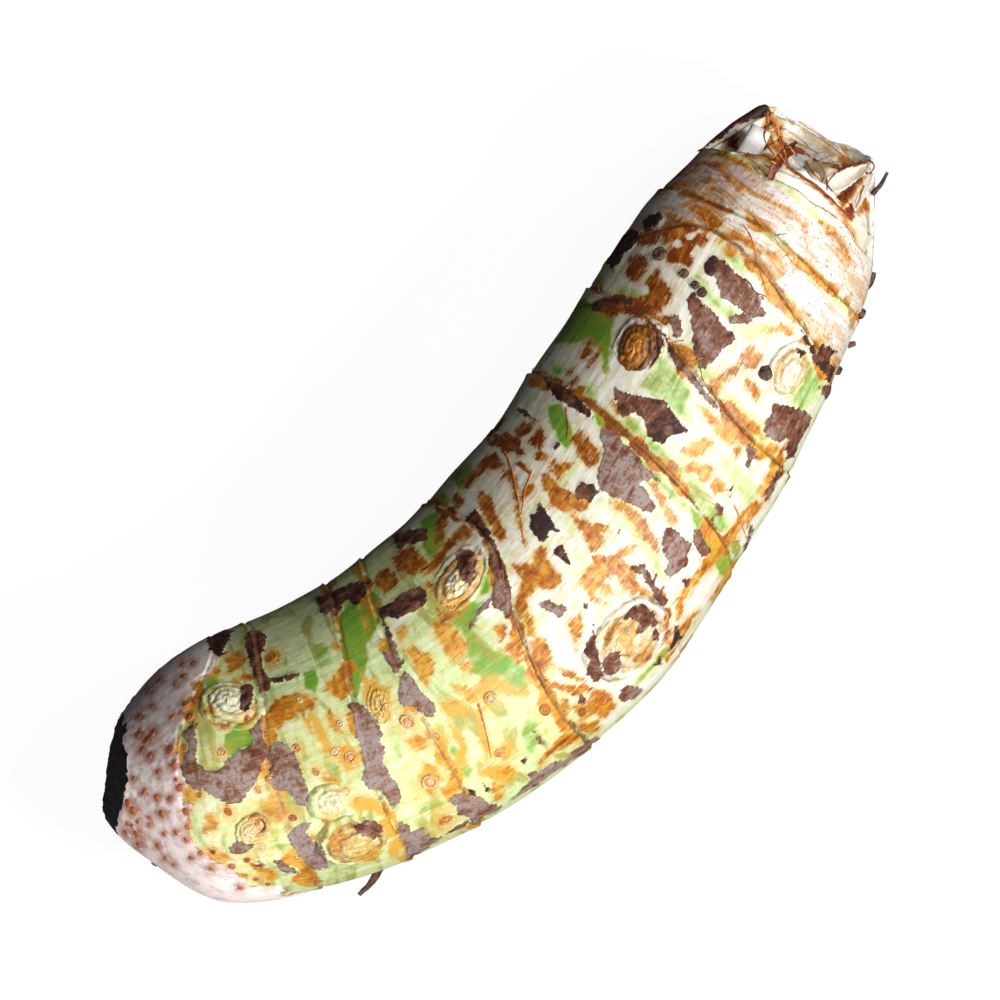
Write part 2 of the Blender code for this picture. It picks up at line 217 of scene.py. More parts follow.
# Outlines and paths in the photograph's pixels give x and y of their first corner, and then of the
# others as steps from the first, so that changing the first moves the whole.
# What is left of the skin: how dark and red each patch is, from 0, dry grey-mauve, to 1, nearly
# black maroon, and its outline. Two patches of tone 1 are partly painted shade.
skinPatches = (
    (0.9, 703,264, 9,-9, 15,-6, 22,-2, 29,6, 23,13, 13,9, 5,14),
    (0.4, 713,272, 11,-10, 19,-3, 29,6, 37,18, 45,28, 55,43, 42,46, 32,42, 21,33, 9,26, 4,13),
    (0.3, 743,284, 5,-1, 13,10, 23,13, 22,17, 13,15, 5,9),
    (0.65, 686,300, 8,-8, 14,2, 26,10, 32,18, 22,22, 14,30, 6,22),
    (0.45, 690,318, 14,-2, 26,0, 34,7, 48,20, 38,28, 16,50, 8,50, 4,32, 2,12),
    (0.4, 669,318, 8,-5, 12,4, 13,18, 6,18, 2,10),
    (0.05, 729,318, 6,-3, 16,-2, 27,2, 19,6, 1,6),
    (0.95, 799,327, 7,7, 13,17, 18,27, 25,19, 24,16, 32,21, 39,25, 34,28, 30,35, 37,42, 34,51, 30,57,
     27,49, 21,43, 15,35, 12,25, 7,15),
    (0.9, 795,345, 8,6, 12,8, 5,13, 2,7),
    (0.5, 820,388, 14,-4, 16,0, 8,12, 2,8),
    (0.6, 774,404, 6,0, 16,2, 26,5, 34,8, 40,14, 32,28, 26,40, 21,54, 14,56, 12,48, 15,37, 12,26, 4,18,
     -2,8),
    (0.35, 766,418, 10,0, 20,10, 22,20, 14,25, 4,20, -2,12),
    (0.9, 662,333, 4,1, 9,11, 14,19, 10,23, 5,13),
    (0.5, 670,354, 6,-3, 12,6, 22,18, 30,28, 36,38, 28,34, 8,14),
    (0.15, 684,364, 8,9, 19,23, 28,34, 38,47, 32,46, 8,20),
    (0.65, 612,385, 10,7, 24,9, 40,13, 52,15, 60,27, 70,39, 78,47, 58,51, 52,57, 42,57, 36,49, 30,33,
     24,27, 16,29, 10,33, 6,21, 2,11),
    (0.45, 650,412, 14,-2, 24,12, 18,24, 6,28, -2,16),
    (0.15, 601,428, 13,2, 21,12, 35,26, 45,40, 59,53, 49,52, 40,56, 47,64, 56,80, 49,86, 39,80, 11,68,
     -1,62, -5,48, -1,34, 3,22, -1,12),
    (0.45, 636,456, 10,12, 24,25, 14,24, 4,18),
    (0.5, 604,430, 12,4, 18,16, 8,20, 2,12),
    (0.75, 574,496, 3,-8, 7,-14, 14,-12, 20,-13, 24,-4, 16,8, 10,4, 3,4),
    (1.0, 540,503, 4,7, 10,14, 16,24, 21,28, 16,29, 10,27, 7,33, 4,38, -1,39, -3,33, -9,28, -11,24, -9,17,
     -10,11, -4,9),
    (0.85, 553,552, 4,-6, 9,-7, 13,2, 20,15, 13,11, 7,6, 1,5),
    (0.8, 556,441, 5,2, 0,8, -4,9),
    (0.9, 464,521, 5,-7, 11,-12, 18,-3, 24,7, 28,19, 22,21, 16,11, 10,3),
    (0.4, 484,536, 8,0, 22,36, 26,52, 28,77, 22,82, 18,74, 12,72, 7,64, 10,50, 9,38, 4,26, 6,16),
    (0.1, 491,597, -3,11, -11,17, -17,27, -24,39, -23,31, -15,17, -7,5),
    (0.55, 461,549, 9,0, 16,7, 14,23, 10,37, 1,31, -4,19, -5,8),
    (0.75, 380,618, -1,-10, 10,-16, 16,-20, 22,-26, 32,-30, 40,-32, 46,-26, 47,-16, 32,-6, 18,0, 6,-1),
    (0.35, 380,612, 16,32, 18,43, 24,50, 18,60, 15,63, 8,52, 2,42, 10,36, 6,22),
    (0.1, 400,676, 4,-5, 10,-2, 18,12, 30,24, 37,34, 32,42, 25,40, 15,32, 0,28, -2,14),
    (0.4, 348,706, 4,-4, 12,-2, 20,5, 12,10, 6,8),
    (0.1, 354,712, 10,-6, 18,2, 24,10, 28,23, 27,30, 32,40, 28,50, 34,60, 44,73, 48,86, 44,92, 39,98,
     34,88, 24,78, 13,78, 8,68, 10,56, 8,38, 2,23, 0,10),
    (0.2, 180,732, 6,-2, 13,-10, 17,-8, 15,6, 19,14, 15,20, 17,30, 25,38, 38,39, 44,36, 45,28, 52,24,
     56,16, 66,18, 72,10, 70,-2, 77,-11, 81,-14, 82,3, 86,13, 88,23, 82,33, 78,46, 72,56, 66,65, 60,71,
     52,73, 42,69, 32,64, 24,56, 16,60, 8,54, 2,44, 1,33, 6,20, 8,10, 4,6),
    (0.12, 270,745, 8,-4, 16,-2, 22,5, 28,15, 31,27, 36,37, 39,50, 36,61, 28,59, 22,51, 16,45, 8,47, 1,41,
     -2,33, 2,20, -4,13),
    (0.6, 246,632, 10,-4, 20,2, 19,13, 15,23, 16,36, 22,44, 30,46, 40,44, 34,50, 24,51, 22,60, 14,60, 6,36,
     2,23, -1,13),
    (0.9, 206,637, 16,-9, 28,-7, 20,8, 14,18, 8,18, 2,8),
    (0.9, 326,592, 24,-9, 42,-12, 43,-2, 30,14, 19,7, 10,23, 2,18),
    (0.7, 315,597, 15,-5, 21,8, 11,19, 5,13),
    (0.3, 228,848, 6,-6, 14,-8, 26,-1, 18,5, 10,8, 2,6),
    (0.15, 286,838, 8,-10, 14,-14, 25,-15, 20,-6, 28,4, 36,8, 40,20, 44,30, 29,34, 18,24, 10,12),
    (0.3, 272,860, 12,2, 28,14, 10,14),
    (0.3, 252,864, 10,-2, 14,3, 6,5),
    (0.6, 284,676, 14,-4, 16,0, 2,6),
    (0.6, 620,624, 6,-10, 16,-19, 26,-18, 34,-12, 38,0, 36,6, 30,0, 24,8, 20,12, 16,8, 18,-2, 10,-6),
    (0.7, 654,629, 6,5, 5,12, -2,11),
    (0.5, 594,622, 2,18, 4,33, 8,46, 8,54, 3,64, -2,58, -8,50, -4,38, -10,30),
    (0.45, 603,660, 7,-8, 17,-8, 19,4, 13,14, 5,16, -1,8),
    (0.5, 632,567, 6,-1, 10,-5, 16,3, 22,15, 30,25, 37,35, 30,41, 24,33, 20,23, 8,7),
    (0.0, 646,563, 10,11, 18,25, 25,37, 20,27, 11,16),
    (0.5, 618,698, 4,-8, 12,-14, 27,-8, 16,2, 6,5),
    (0.35, 578,704, 4,-12, 8,-5, 6,2),
    (1.0, 676,626, 8,12, 2,16, -4,24, -8,26, -3,14),
    (1.0, 654,667, 8,-10, 8,-1),
    (0.25, 664,530, 6,-3, 14,2, 20,8, 28,14, 24,24, 22,36, 14,44, 6,48, 0,42, 4,32, -1,18),
    (0.45, 694,532, 5,-3, 12,10, 17,20, 11,26, 4,20, 0,12),
    (0.4, 714,504, 4,-2, 10,4, 8,12, 2,14, 0,20, -2,16, 2,8),
    (0.3, 746,444, 6,3, 13,6, 11,12, 6,18, 3,26, -1,22, 2,14),
    (0.6, 780,464, 3,10, -4,22, -10,36, -15,40, -13,24, -6,14),
    (0.5, 731,488, 3,-4, 1,4, -2,10),
    (0.5, 744,554, 4,-14, 6,-28, 11,-28, 8,-18, 4,-6),
    (0.4, 683,580, 7,0, 6,10, 1,7),
    (0.2, 537,604, 9,-4, 17,0, 30,3, 27,8, 23,14, 14,9, 7,6),
    (0.45, 583,606, 4,-6, 7,0, 2,4),
    (0.6, 620,528, 4,6, 6,10, -1,6),
    (0.4, 667,494, 5,6, 9,8, 2,5),
    (0.15, 511,801, 9,-11, 19,-19, 19,-27, 29,-29, 37,-35, 49,-39, 61,-47, 74,-57, 87,-65, 90,-62, 77,-51,
     64,-41, 19,-11),
    (0.8, 532,782, 8,3, 0,8),
    (0.15, 448,802, 4,-6, 16,-10, 22,-4, 32,-6, 42,4, 56,4, 52,10, 36,16, 26,24, 20,14, 10,14, 8,4),
    (0.95, 467,790, 10,0, 9,7, 3,8),
    (0.9, 484,784, 6,5, 3,11),
    (0.2, 399,822, 9,4, 13,10, 23,4, 26,11, 33,16, 43,16, 33,24, 16,34, 6,40, 9,24, 1,14),
    (0.8, 520,760, 8,0, 5,6),
    (0.2, 533,729, 7,9, 14,13, 9,18, 5,11),
    (0.15, 448,834, 8,-8, 22,-12, 14,-4),
    (0.85, 541,374, 11,6, 25,12, 37,22, 49,36, 53,44, 39,38, 25,30, 15,24, 5,12),
    (0.7, 512,404, 12,5, 23,15, 8,10),
    (0.7, 582,304, 18,-4, 32,-7, 48,-4, 52,0, 28,2, 14,7),
    (1.0, 641,223, 7,-9, 19,-11, 22,-5, 15,3, 5,6),
    # Partly painted shade: dark skin and the shade along the hollow side's edge, as tone 1
    (1.0, 606,262, 10,-22, 24,-34, 35,-30, 28,-18, 16,-6, 6,10),
    (0.5, 392,536, 12,-6, 33,-9, 36,4, 18,8, 4,12),
    (0.75, 240,689, 6,-5, 14,-4, 13,5, 11,15, 6,23, 0,19, 1,9),
    (0.8, 652,324, 8,6, 12,20, 8,32, 0,40, -2,30, 3,20, 0,10),
    # Partly painted shade: the crown's outer rim on the hollow side, darkened as skin of tone 1
    (1.0, 696,142, 12,-16, 26,-28, 42,-37, 70,-44, 74,-36, 69,-25, 56,-22, 42,-18, 30,-9, 16,2, 6,6),
    (0.5, 354,826, 12,-6, 26,-2, 30,6, 20,12, 6,10),
)

# Rust on the flesh: how deep its colour is, from 0, amber, to 1, brown, and its outline.
rustPatches = (
    (0.8, 661,238, 7,-12, 15,-23, 23,-17, 29,-6, 39,-6, 46,2, 43,9, 36,8, 29,14, 31,24, 27,30, 19,26, 7,24,
     3,14, 7,8, 2,5),
    (1.0, 627,258, 9,-4, 21,0, 19,10, 13,22, 5,24, -2,17, 0,8),
    (0.85, 640,286, 8,-10, 16,-18, 20,-10, 22,-4, 28,0, 32,8, 28,16, 22,22, 17,28, 5,19, -3,12, 0,6),
    (0.65, 664,215, 8,-10, 20,-13, 36,-11, 51,-3, 64,3, 58,11, 48,17, 41,21, 36,13, 26,7, 16,-1, 8,7,
     0,17),
    (0.25, 716,242, 12,-4, 26,-2, 34,8, 38,26, 44,40, 52,52, 52,34, 46,14, 36,-2, 24,-12, 6,-10),
    (0.7, 667,166, 23,-8, 45,-14, 55,-6, 49,6, 61,14, 79,30, 63,38, 45,34, 33,28, 21,20, 5,16, -3,18),
    (0.3, 768,252, 12,-2, 18,10, 16,24, 8,32, 0,24, -2,10),
    (0.3, 790,300, 10,8, 22,20, 32,32, 46,42, 36,44, 22,34, 10,22, 2,10),
    (0.95, 632,240, 13,-6, 28,-12, 30,-2, 18,4, 8,6),
    (0.8, 633,300, 12,4, 24,12, 24,19, 12,14, 1,7),
    (0.9, 578,358, 4,-13, 10,-20, 17,-17, 14,-8, 8,2),
    (0.8, 586,367, 6,-11, 14,-21, 13,-11, 6,-1),
    (0.9, 564,378, 2,-8, 10,-13, 7,-4),
    (0.9, 566,387, 6,-7, 13,-12, 8,-4),
    (0.95, 603,312, 9,-7, 19,-8, 37,-2, 47,6, 53,17, 45,12, 33,4, 17,0, 5,6),
    (0.75, 566,386, 14,7, 34,20, 74,54, 82,64, 74,62, 58,49, 40,34, 22,21, 6,10),
    (0.75, 578,430, 12,10, 20,18, 22,28, 16,36, 8,36, 2,28, -4,16, -6,6),
    (0.6, 560,466, 8,-4, 6,6, 0,10),
    (0.6, 610,400, 8,4, 12,14, 6,14),
    (0.55, 710,380, 10,-4, 20,-12, 32,-19, 32,-14, 14,4, 10,12, 6,18, 0,10),
    (0.5, 738,360, 8,-10, 16,-14, 28,-2, 16,10, 8,6, 10,0),
    (0.35, 766,328, 12,-5, 24,-2, 31,6, 22,8, 10,4),
    (0.45, 748,378, 8,6, 12,14, 8,24, 4,16, -1,8),
    (0.45, 722,400, 14,8, 28,18, 40,27, 40,37, 26,31, 12,19, 2,10),
    (0.1, 764,446, 6,-4, 16,2, 11,12, 4,10),
    (0.3, 734,450, 8,-4, 8,4, 2,8),
    (0.3, 832,362, 6,-6, 11,0, 6,10, 2,8),
    (0.2, 700,405, 10,5, 22,19, 30,31, 38,39, 30,41, 18,29, 6,13),
    (0.2, 682,450, 20,-12, 32,-8, 18,6, 8,8),
    (0.2, 684,470, 10,-10, 30,0, 28,10, 20,14, 14,4),
    (0.25, 712,478, 12,2, 16,13, 4,16, -2,10),
    (0.3, 660,462, 12,8, 24,20, 34,36, 24,32, 12,20),
    (1.0, 512,432, 10,-10, 22,-12, 18,-2, 8,5, 2,5),
    (0.95, 494,434, 10,0, 22,4, 26,10, 30,18, 24,22, 16,14, 6,16, 0,10),
    (0.9, 524,442, 16,-16, 20,-6, 18,4, 12,8, 6,0),
    (0.85, 478,462, 8,-8, 16,-10, 22,-4, 26,2, 20,6, 12,6, 2,12, -12,26, -16,20),
    (0.8, 450,500, 6,-8, 12,-2, 14,4, 6,7),
    (0.85, 436,520, 6,-12, 12,-8, 10,6, 4,20, -2,26),
    (0.7, 498,480, 6,-10, 11,-15, 16,-4, 20,8, 16,16, 12,2, 8,-4),
    (0.5, 513,494, 4,2, 6,18, 10,34, 13,52, 8,44, 3,26),
    (0.55, 520,506, 2,-16, 10,-25, 15,-20, 10,-12, 4,-6),
    (0.65, 478,490, 12,6, 20,30, 26,40, 28,48, 22,52, 16,46, 10,34, 4,24, 0,14),
    (0.5, 548,470, 8,-6, 18,-10, 24,-6, 18,2, 10,8),
    (0.5, 547,462, 7,-6, 9,0, 3,6),
    (0.5, 540,474, 8,-2, 16,10, 22,20, 28,26, 34,37, 26,34, 16,32, 8,34, 12,22, 4,16),
    (0.5, 568,500, 6,8, 12,19, 22,23, 30,30, 38,36, 32,47, 26,53, 20,42, 12,31, 4,18),
    (0.5, 534,552, 6,-6, 12,-4, 14,8, 20,16, 26,22, 28,30, 22,38, 12,36, 2,38, -6,48, -8,60, -16,68,
     -18,54, -16,38, -10,28, -20,20, -22,12, -10,12, -2,10),
    (0.0, 580,582, 10,-14, 20,-20, 28,-20, 30,-12, 24,-2, 20,8, 14,16, 6,10),
    (0.35, 601,584, 9,-2, 12,8, 5,14, -1,10),
    (0.5, 602,562, 7,-2, 11,8, 6,14, 2,8),
    (0.3, 618,552, 8,-5, 22,-7, 14,3, 4,4),
    (0.5, 611,500, 9,0, 19,6, 35,22, 43,34, 49,46, 49,56, 41,48, 33,38, 23,24, 13,12, 3,8),
    (0.35, 648,476, 8,8, 16,20, 28,40, 30,48, 20,48, 14,32, 2,12),
    (0.45, 630,588, 6,-6, 15,0, 19,8, 10,4, 2,9),
    (0.5, 592,600, 10,-2, 16,4, 6,7),
    (0.55, 604,642, 4,-14, 14,-23, 17,-18, 8,-8, 4,4, -2,12),
    (0.25, 626,624, 8,-2, 11,8, 6,18, 12,30, 4,34, -4,22, -6,10),
    (0.5, 664,618, 6,-2, 6,14, 2,19),
    (0.4, 676,598, 8,-2, 8,20, 4,24),
    (0.25, 756,500, 6,4, -12,22, -20,40, -32,56, -48,70, -62,86, -72,100, -76,98, -66,82, -52,64, -38,48,
     -26,34, -18,20),
    (0.25, 702,560, 14,-4, 10,12, 2,14),
    (0.55, 562,494, 6,8, 16,20, 18,28, 8,20, -2,14),
    (0.3, 570,620, 10,-6, 12,8, 6,32, 2,20),
    (0.45, 640,646, 12,-2, 12,10, 2,18, -6,14),
    (0.85, 392,556, 8,-8, 20,-10, 32,0, 38,10, 28,16, 16,18, 6,12, 2,6),
    (0.8, 375,575, 11,-9, 19,-3, 23,3, 17,13, 9,17, 1,11),
    (0.65, 420,576, 20,-28, 30,-41, 42,-52, 54,-46, 50,-39, 38,-35, 28,-24, 20,-12, 10,-2),
    (0.7, 425,580, 7,2, 9,12, 2,10),
    (0.7, 434,606, 6,6, 16,4, 26,-4, 33,-8, 32,0, 24,8, 16,14, 6,12),
    (0.4, 434,622, 10,0, 22,8, 32,18, 32,28, 28,36, 18,40, 12,34, 10,24, 2,18),
    (0.45, 404,650, 8,-6, 16,2, 26,4, 30,14, 26,26, 22,34, 16,26, 10,14),
    (0.3, 396,630, 8,-6, 12,2, 6,14, 2,10),
    (0.35, 458,664, 8,-3, 15,4, 6,9),
    (0.35, 500,650, 10,-10, 18,-6, 24,8, 18,14, 12,6),
    (0.3, 494,628, 10,-4, 12,8, 6,14),
    (0.15, 470,692, 12,-12, 26,-16, 38,-8, 46,-4, 60,-2, 56,6, 40,3, 26,-2, 12,4),
    (0.3, 452,686, 10,-2, 18,6, 29,14, 20,19, 10,10),
    (0.35, 440,704, 12,-4, 22,2, 30,8, 26,14, 18,9, 10,16, 4,10),
    (0.3, 478,706, 4,6, 8,29, 13,52, 9,52, 3,32, -1,14),
    (0.0, 450,724, 10,8, 18,26, 15,44, 6,38, 10,22, 2,10),
    (0.3, 476,774, 18,-8, 36,-7, 42,2, 29,10, 16,6),
    (0.4, 494,784, 10,2, 8,16, 0,16),
    (0.5, 324,682, 14,-8, 26,-10, 26,8, 18,18, 10,14, 2,8),
    (0.75, 268,712, 4,-10, 12,-16, 24,-18, 37,-18, 48,-14, 46,-4, 36,0, 28,4, 18,10, 10,18, 2,18, -2,10),
    (0.6, 330,710, 8,12, 11,23, 2,19, -5,8),
    (0.1, 308,714, 8,0, 18,20, 26,38, 18,42, 8,22),
    (0.4, 340,745, 10,1, 18,11, 16,21, 8,25, 0,17, -4,7),
    (0.35, 302,716, 4,-2, 10,12, 6,16),
    (0.1, 362,676, 14,4, 26,16, 28,30, 26,44, 18,40, 8,32, 2,22),
    (0.4, 322,772, 8,6, 16,8, 8,12, 2,8),
    (0.4, 404,742, 14,-6, 24,-2, 20,8, 8,8),
    (0.35, 424,764, 12,6, 16,21, 8,31, 0,24, -4,12),
    (0.15, 350,806, 8,-8, 24,-7, 38,0, 45,16, 36,12, 22,4, 6,6),
    (0.45, 328,838, 8,-6, 14,2, 12,14, 4,14),
    (0.4, 352,850, 14,-4, 28,0, 22,12, 8,12),
    (0.1, 392,838, 8,-2, 10,12, 2,22, -4,16),
    (0.4, 260,806, 10,-8, 18,0, 26,12, 18,16, 8,10),
    (0.6, 246,716, 8,-5, 7,6, 1,8),
    (0.7, 210,720, 12,3, 22,4, 19,10, 8,8, 2,7),
    (0.6, 206,706, 5,-2, 7,6, 1,10),
    (0.6, 184,690, 12,2, 14,16, 8,30, -2,28, -3,14),
    (0.75, 234,678, 12,-6, 24,-4, 22,1, 10,2, 2,6),
    (0.9, 270,650, 8,2, 9,11, 1,14, -4,8),
    (0.6, 224,656, 14,-6, 23,0, 16,12, 6,12),
    (0.45, 204,816, 10,-4, 14,6, 8,18, 0,20),
    (0.5, 224,806, 8,2, 10,11, 4,14),
    (0.55, 246,856, 16,12, 32,20, 24,26, 8,16),
    (0.5, 530,640, 15,0, 22,15, 20,26, 12,29, 4,18),
    (0.5, 526,612, 6,6, 8,24, 2,28, -2,12),
    (0.4, 544,668, 4,14, 16,16, 31,20, 42,16, 48,22, 36,29, 22,24, 8,22, 1,14),
    (0.35, 553,666, 17,6, 33,16, 17,12),
    (0.5, 594,692, 12,-2, 18,4, 22,16, 12,26, -2,24, -9,16, -2,8),
    (0.65, 574,708, 12,-4, 16,8, 6,12),
    (0.65, 578,722, 12,2, 22,0, 20,10, 10,12, 2,8),
    (0.5, 556,740, 14,-8, 27,-4, 24,4, 10,8, 0,12, -15,27, -16,22, -6,10),
    (0.3, 498,756, 5,-10, 15,-12, 14,-2, 6,4),
    (0.5, 560,700, 8,0, 10,10, 2,12),
    (0.55, 440,812, 6,4, 4,16, -2,20),
    (0.35, 767,497, 2,4, -45,56, -86,109, -90,105, -49,51),
    (0.3, 742,560, -8,20, -26,46, -30,40, -14,12),
    (0.4, 700,612, -10,16, -28,38, -32,32, -16,10),
    (0.3, 788,442, -8,28, -24,58, -28,52, -14,22),
)

# Root scars on the flesh that show as rings: place, radius and how rusty.
ringScars = (
    (296,748, 5, 0.6), (293,818, 6, 0.7), (313,837, 3, 0.4), (326,820, 5, 0.5), (407,722, 9, 0.4),
    (266,733, 5, 0.7), (248,719, 5, 0.8), (222,752, 5, 0.4), (545,710, 8, 0.6), (490,698, 8, 0.35),
    (446,820, 9, 0.5), (436,737, 6, 0.5), (258,825, 14, 0.35), (430,782, 11, 0.3), (582,712, 6, 0.8),
    (350,757, 8, 0.4), (340,724, 5, 0.3), (316,772, 5, 0.4), (184,748, 5, 0.5), (228,812, 5, 0.6),
    (213,852, 4, 0.9), (247,860, 4, 0.9), (270,778, 5, 0.5), (258,790, 5, 0.3), (199,795, 4, 0.6),
    (628,512, 5, 0.4), (670,512, 4, 0.3), (566,712, 4, 0.4), (500,752, 7, 0.4), (272,658, 6, 0.7),
    (218,672, 4, 0.8), (226,653, 3, 0.8), (386,708, 7, 0.3), (297,858, 4, 0.4), (336,752, 6, 0.2),
    (262,848, 5, 0.2), (346,792, 6, 0.2), (628,632, 6, 0.2), (300,700, 4, 0.2), (452,606, 5, 0.4),
)

# Pale round spots in the rust: place and radius.
paleSpots = ((678, 243, 6), (645, 290, 4), (690, 236, 4))

# Root dots on the bark band: place and radius.
barkDots = (
    (142,750, 4), (150,756, 4), (134,778, 2.5), (158,772, 3), (147,740, 4.5), (139,734, 4), (153,733, 4),
    (170,750, 5), (174,765, 5), (144,792, 3.5), (157,798, 4), (170,799, 3.5), (128,804, 4.5),
    (133,811, 4.5), (162,814, 4), (188,827, 3.5), (127,824, 2.5), (132,826, 2.5), (138,822, 2.5),
    (126,833, 3.5), (137,834, 5), (164,834, 2.5), (176,833, 3), (186,840, 3), (139,845, 4),
    (158,846, 3.5), (201,853, 3.5), (191,858, 3), (232,866, 4), (183,664, 3), (193,663, 3), (172,717, 3),
    (186,704, 4), (196,700, 4), (190,717, 4.5), (165,858, 3), (174,865, 2.5), (256,879, 3), (211,869, 3),
    (180,788, 4), (186,812, 4), (150,825, 2.5), (194,700, 3), (149,818, 2), (176,780, 2.5), (268,884, 3),
    (150,690, 3), (160,680, 2.5), (176,684, 2.5), (184,676, 3), (140,716, 3), (152,706, 2.5),
    (240,888, 3),
)

# Green in the flesh: how deep, how soft its edge is in pixels, and its outline.
greenPatches = (
    (0.85, 5, 360,600, 12,-10, 22,0, 18,25, 6,45, 8,60, -4,100, -10,90, -20,40, -22,15, -14,5),
    (0.75, 4, 302,672, 13,-4, 18,8, 14,20, 2,18),
    (0.85, 4, 224,736, 20,-20, 32,-36, 30,9, 16,12, 6,24, 1,14),
    (0.5, 6, 200,660, 15,-10, 24,30, 6,40),
    (0.9, 6, 420,520, 18,-12, 25,25, 10,40, 2,25),
    (0.9, 6, 452,474, 16,-12, 20,6, 6,18),
    (0.6, 6, 450,622, 16,-22, 32,-22, 26,18, 74,38, 84,62, 70,78, 40,64, 20,50, 16,23),
    (0.6, 5, 478,596, 6,-36, 12,-30, 12,-2),
    (0.8, 4, 546,404, 14,0, 22,16, 28,36, 20,46, 10,32, 2,14),
    (0.8, 4, 594,410, 12,2, 24,14, 12,20, 2,14),
    (0.95, 7, 556,340, 22,-42, 44,-34, 56,-24, 50,32, 44,12, 34,-4, 18,2),
    (0.45, 5, 655,345, 13,17, 29,35, 39,49, 31,57, 37,79, 19,67, 0,51, -15,41, -1,23),
    (0.5, 4, 694,272, 11,12, 22,26, 43,41, 36,50, 18,34, 6,20),
    (0.4, 4, 718,244, 17,8, 31,26, 25,33, 12,20),
    (0.35, 5, 733,324, 27,1, 40,8, 25,19, 9,13),
    (0.45, 6, 803,348, 9,14, 19,26, 24,40, 13,54, -1,66, -15,54, -2,34),
    (0.45, 5, 744,432, 18,6, 34,30, 48,34, 34,36, 16,18),
    (0.35, 6, 722,454, 23,16, 40,36, 30,58, 14,38, 2,18),
    (0.45, 5, 622,500, 18,20, 34,50, 46,80, 36,76, 22,52, 6,28),
    (0.5, 5, 616,432, 24,20, 52,50, 74,74, 64,78, 38,52, 12,24),
    (0.85, 5, 690,506, 16,14, 32,42, 50,60, 44,76, 32,70, 16,42, 4,18),
    (0.7, 6, 680,640, -18,20, -40,42, -54,54, -40,40, -16,12),
    (0.6, 8, 330,600, 20,-20, 46,-10, 36,4, 12,12),
    (0.5, 6, 528,700, 17,40, 2,62, -8,40, -6,16),
    (0.5, 6, 442,720, 14,24, 34,50, 28,66, 16,54, 4,28),
    (0.5, 5, 262,790, 20,52, 34,76, 22,76, 6,40, -6,10),
    (0.5, 6, 322,748, 24,22, 18,36, -2,18),
    (0.45, 7, 184,796, 16,10, 22,54, 12,46, 4,20),
    (0.5, 6, 306,640, 24,0, 28,24, 10,28),
    (0.45, 6, 410,800, 30,-10, 36,8, 10,18),
    (0.45, 6, 386,700, 18,30, 14,70, 2,45),
    (0.4, 6, 396,640, 14,20, 10,30, 0,24),
)

# Marks inside the crown and on its veil: tone from 0, white, by cream, tan and orange to 1,
# nearly black, how soft the edge is in pixels, and the outline. The first two are painted shade.
crownPatches = (
    # Painted shade: the ragged back rim on the hollow side, nearly black
    (1.0, 2, 724,124, 14,-10, 28,-14, 40,-18, 42,-8, 28,-3, 16,-4, 4,6),
    # Painted shade in the hollow between the pith and the left rim, partly dark brown tissue
    (0.9, 2, 700,136, 12,-12, 38,-20, 38,16, 22,6, 6,10),
    (0.62, 2, 764,118, 4,-12, 8,-8, 17,6, 19,22, 26,34, 20,42, 8,32, -2,24, -4,14),
    (0.4, 1.5, 767,122, 7,2, 11,16, 9,24, 1,14),
    (0.85, 1.5, 760,132, 8,16, 2,20, -4,19, -2,10),
    (0.6, 2, 740,149, 16,3, 32,5, 44,11, 42,17, 34,17, 20,11, 0,7),
    (0.75, 1.5, 780,128, 3,12, 12,21, 10,26, 2,20, -2,10),
    (0.45, 3, 768,110, 12,8, 32,24, 44,36, 38,40, 24,32, 12,18),
    (0.02, 1.5, 785,124, 15,8, 31,22, 47,34, 41,36, 23,24, 9,14, -2,4),
    (0.35, 4, 800,128, 26,14, 50,32, 36,32, 12,16),
    (0.28, 3, 836,140, 20,6, 36,18, 26,22, 10,12),
    (0.55, 1.5, 840,154, 12,4, 18,12, 8,14, -2,8),
    (0.8, 1.5, 828,164, 14,3, 28,0, 34,-6, 42,-5, 34,4, 16,7, 2,4),
    (0.35, 1.2, 809,163, 11,-1, 23,2, 19,9, 13,18, 6,11),
    (0.0, 2, 792,157, 10,-1, 16,7, 22,19, 34,35, 26,33, 2,13),
    (0.12, 2, 842,170, 24,-5, 22,6, 0,24, -12,20, -14,14),
    (0.7, 1.2, 838,197, 10,-7, 24,-17, 20,-7, 12,3, 4,12),
    (0.88, 1, 836,197, 12,-9, 26,-20, 27,-16, 14,-5, 3,3),
    (0.05, 1.2, 868,174, 5,6, -4,22, -12,38, -15,34, -10,20, -6,10),
    (0.62, 1, 864,196, 6,6, 6,14, -2,18, -8,17),
    (0.75, 1, 862,178, 12,-16, 14,-6, 10,4, 6,-2, 2,4),
    (0.75, 1, 786,165, 16,11, 34,23, 54,42, 67,55, 65,57, 50,44, 31,27, 14,14, -2,3),
    (0.8, 1, 842,208, 10,-2, 14,10, 8,11),
    (0.5, 2, 835,203, 11,13, 21,29, 23,43, 15,39, 7,23, -3,7),
    (0.0, 2, 838,226, 6,2, 14,20, 8,20),
    (0.0, 2, 790,172, 18,12, 38,30, 52,48, 46,52, 28,34, 8,18, -8,6),
    (0.55, 3, 736,158, 16,2, 40,14, 34,20, 12,10),
    (0.6, 3, 820,206, 16,10, 22,24, 12,20, 0,8),
)

# Green and brown lines along the crown's own rims: how green, half its width in pixels, path.
rimBands = (
    (0.42, 5, 716,149, 28,12, 64,33, 90,56, 111,77),
    (0.45, 3, 657,188, 17,-3, 45,11, 79,26, 100,34, 121,51),
    (0.5, 6, 757,224, 21,17, 49,42, 73,64, 95,90),
)
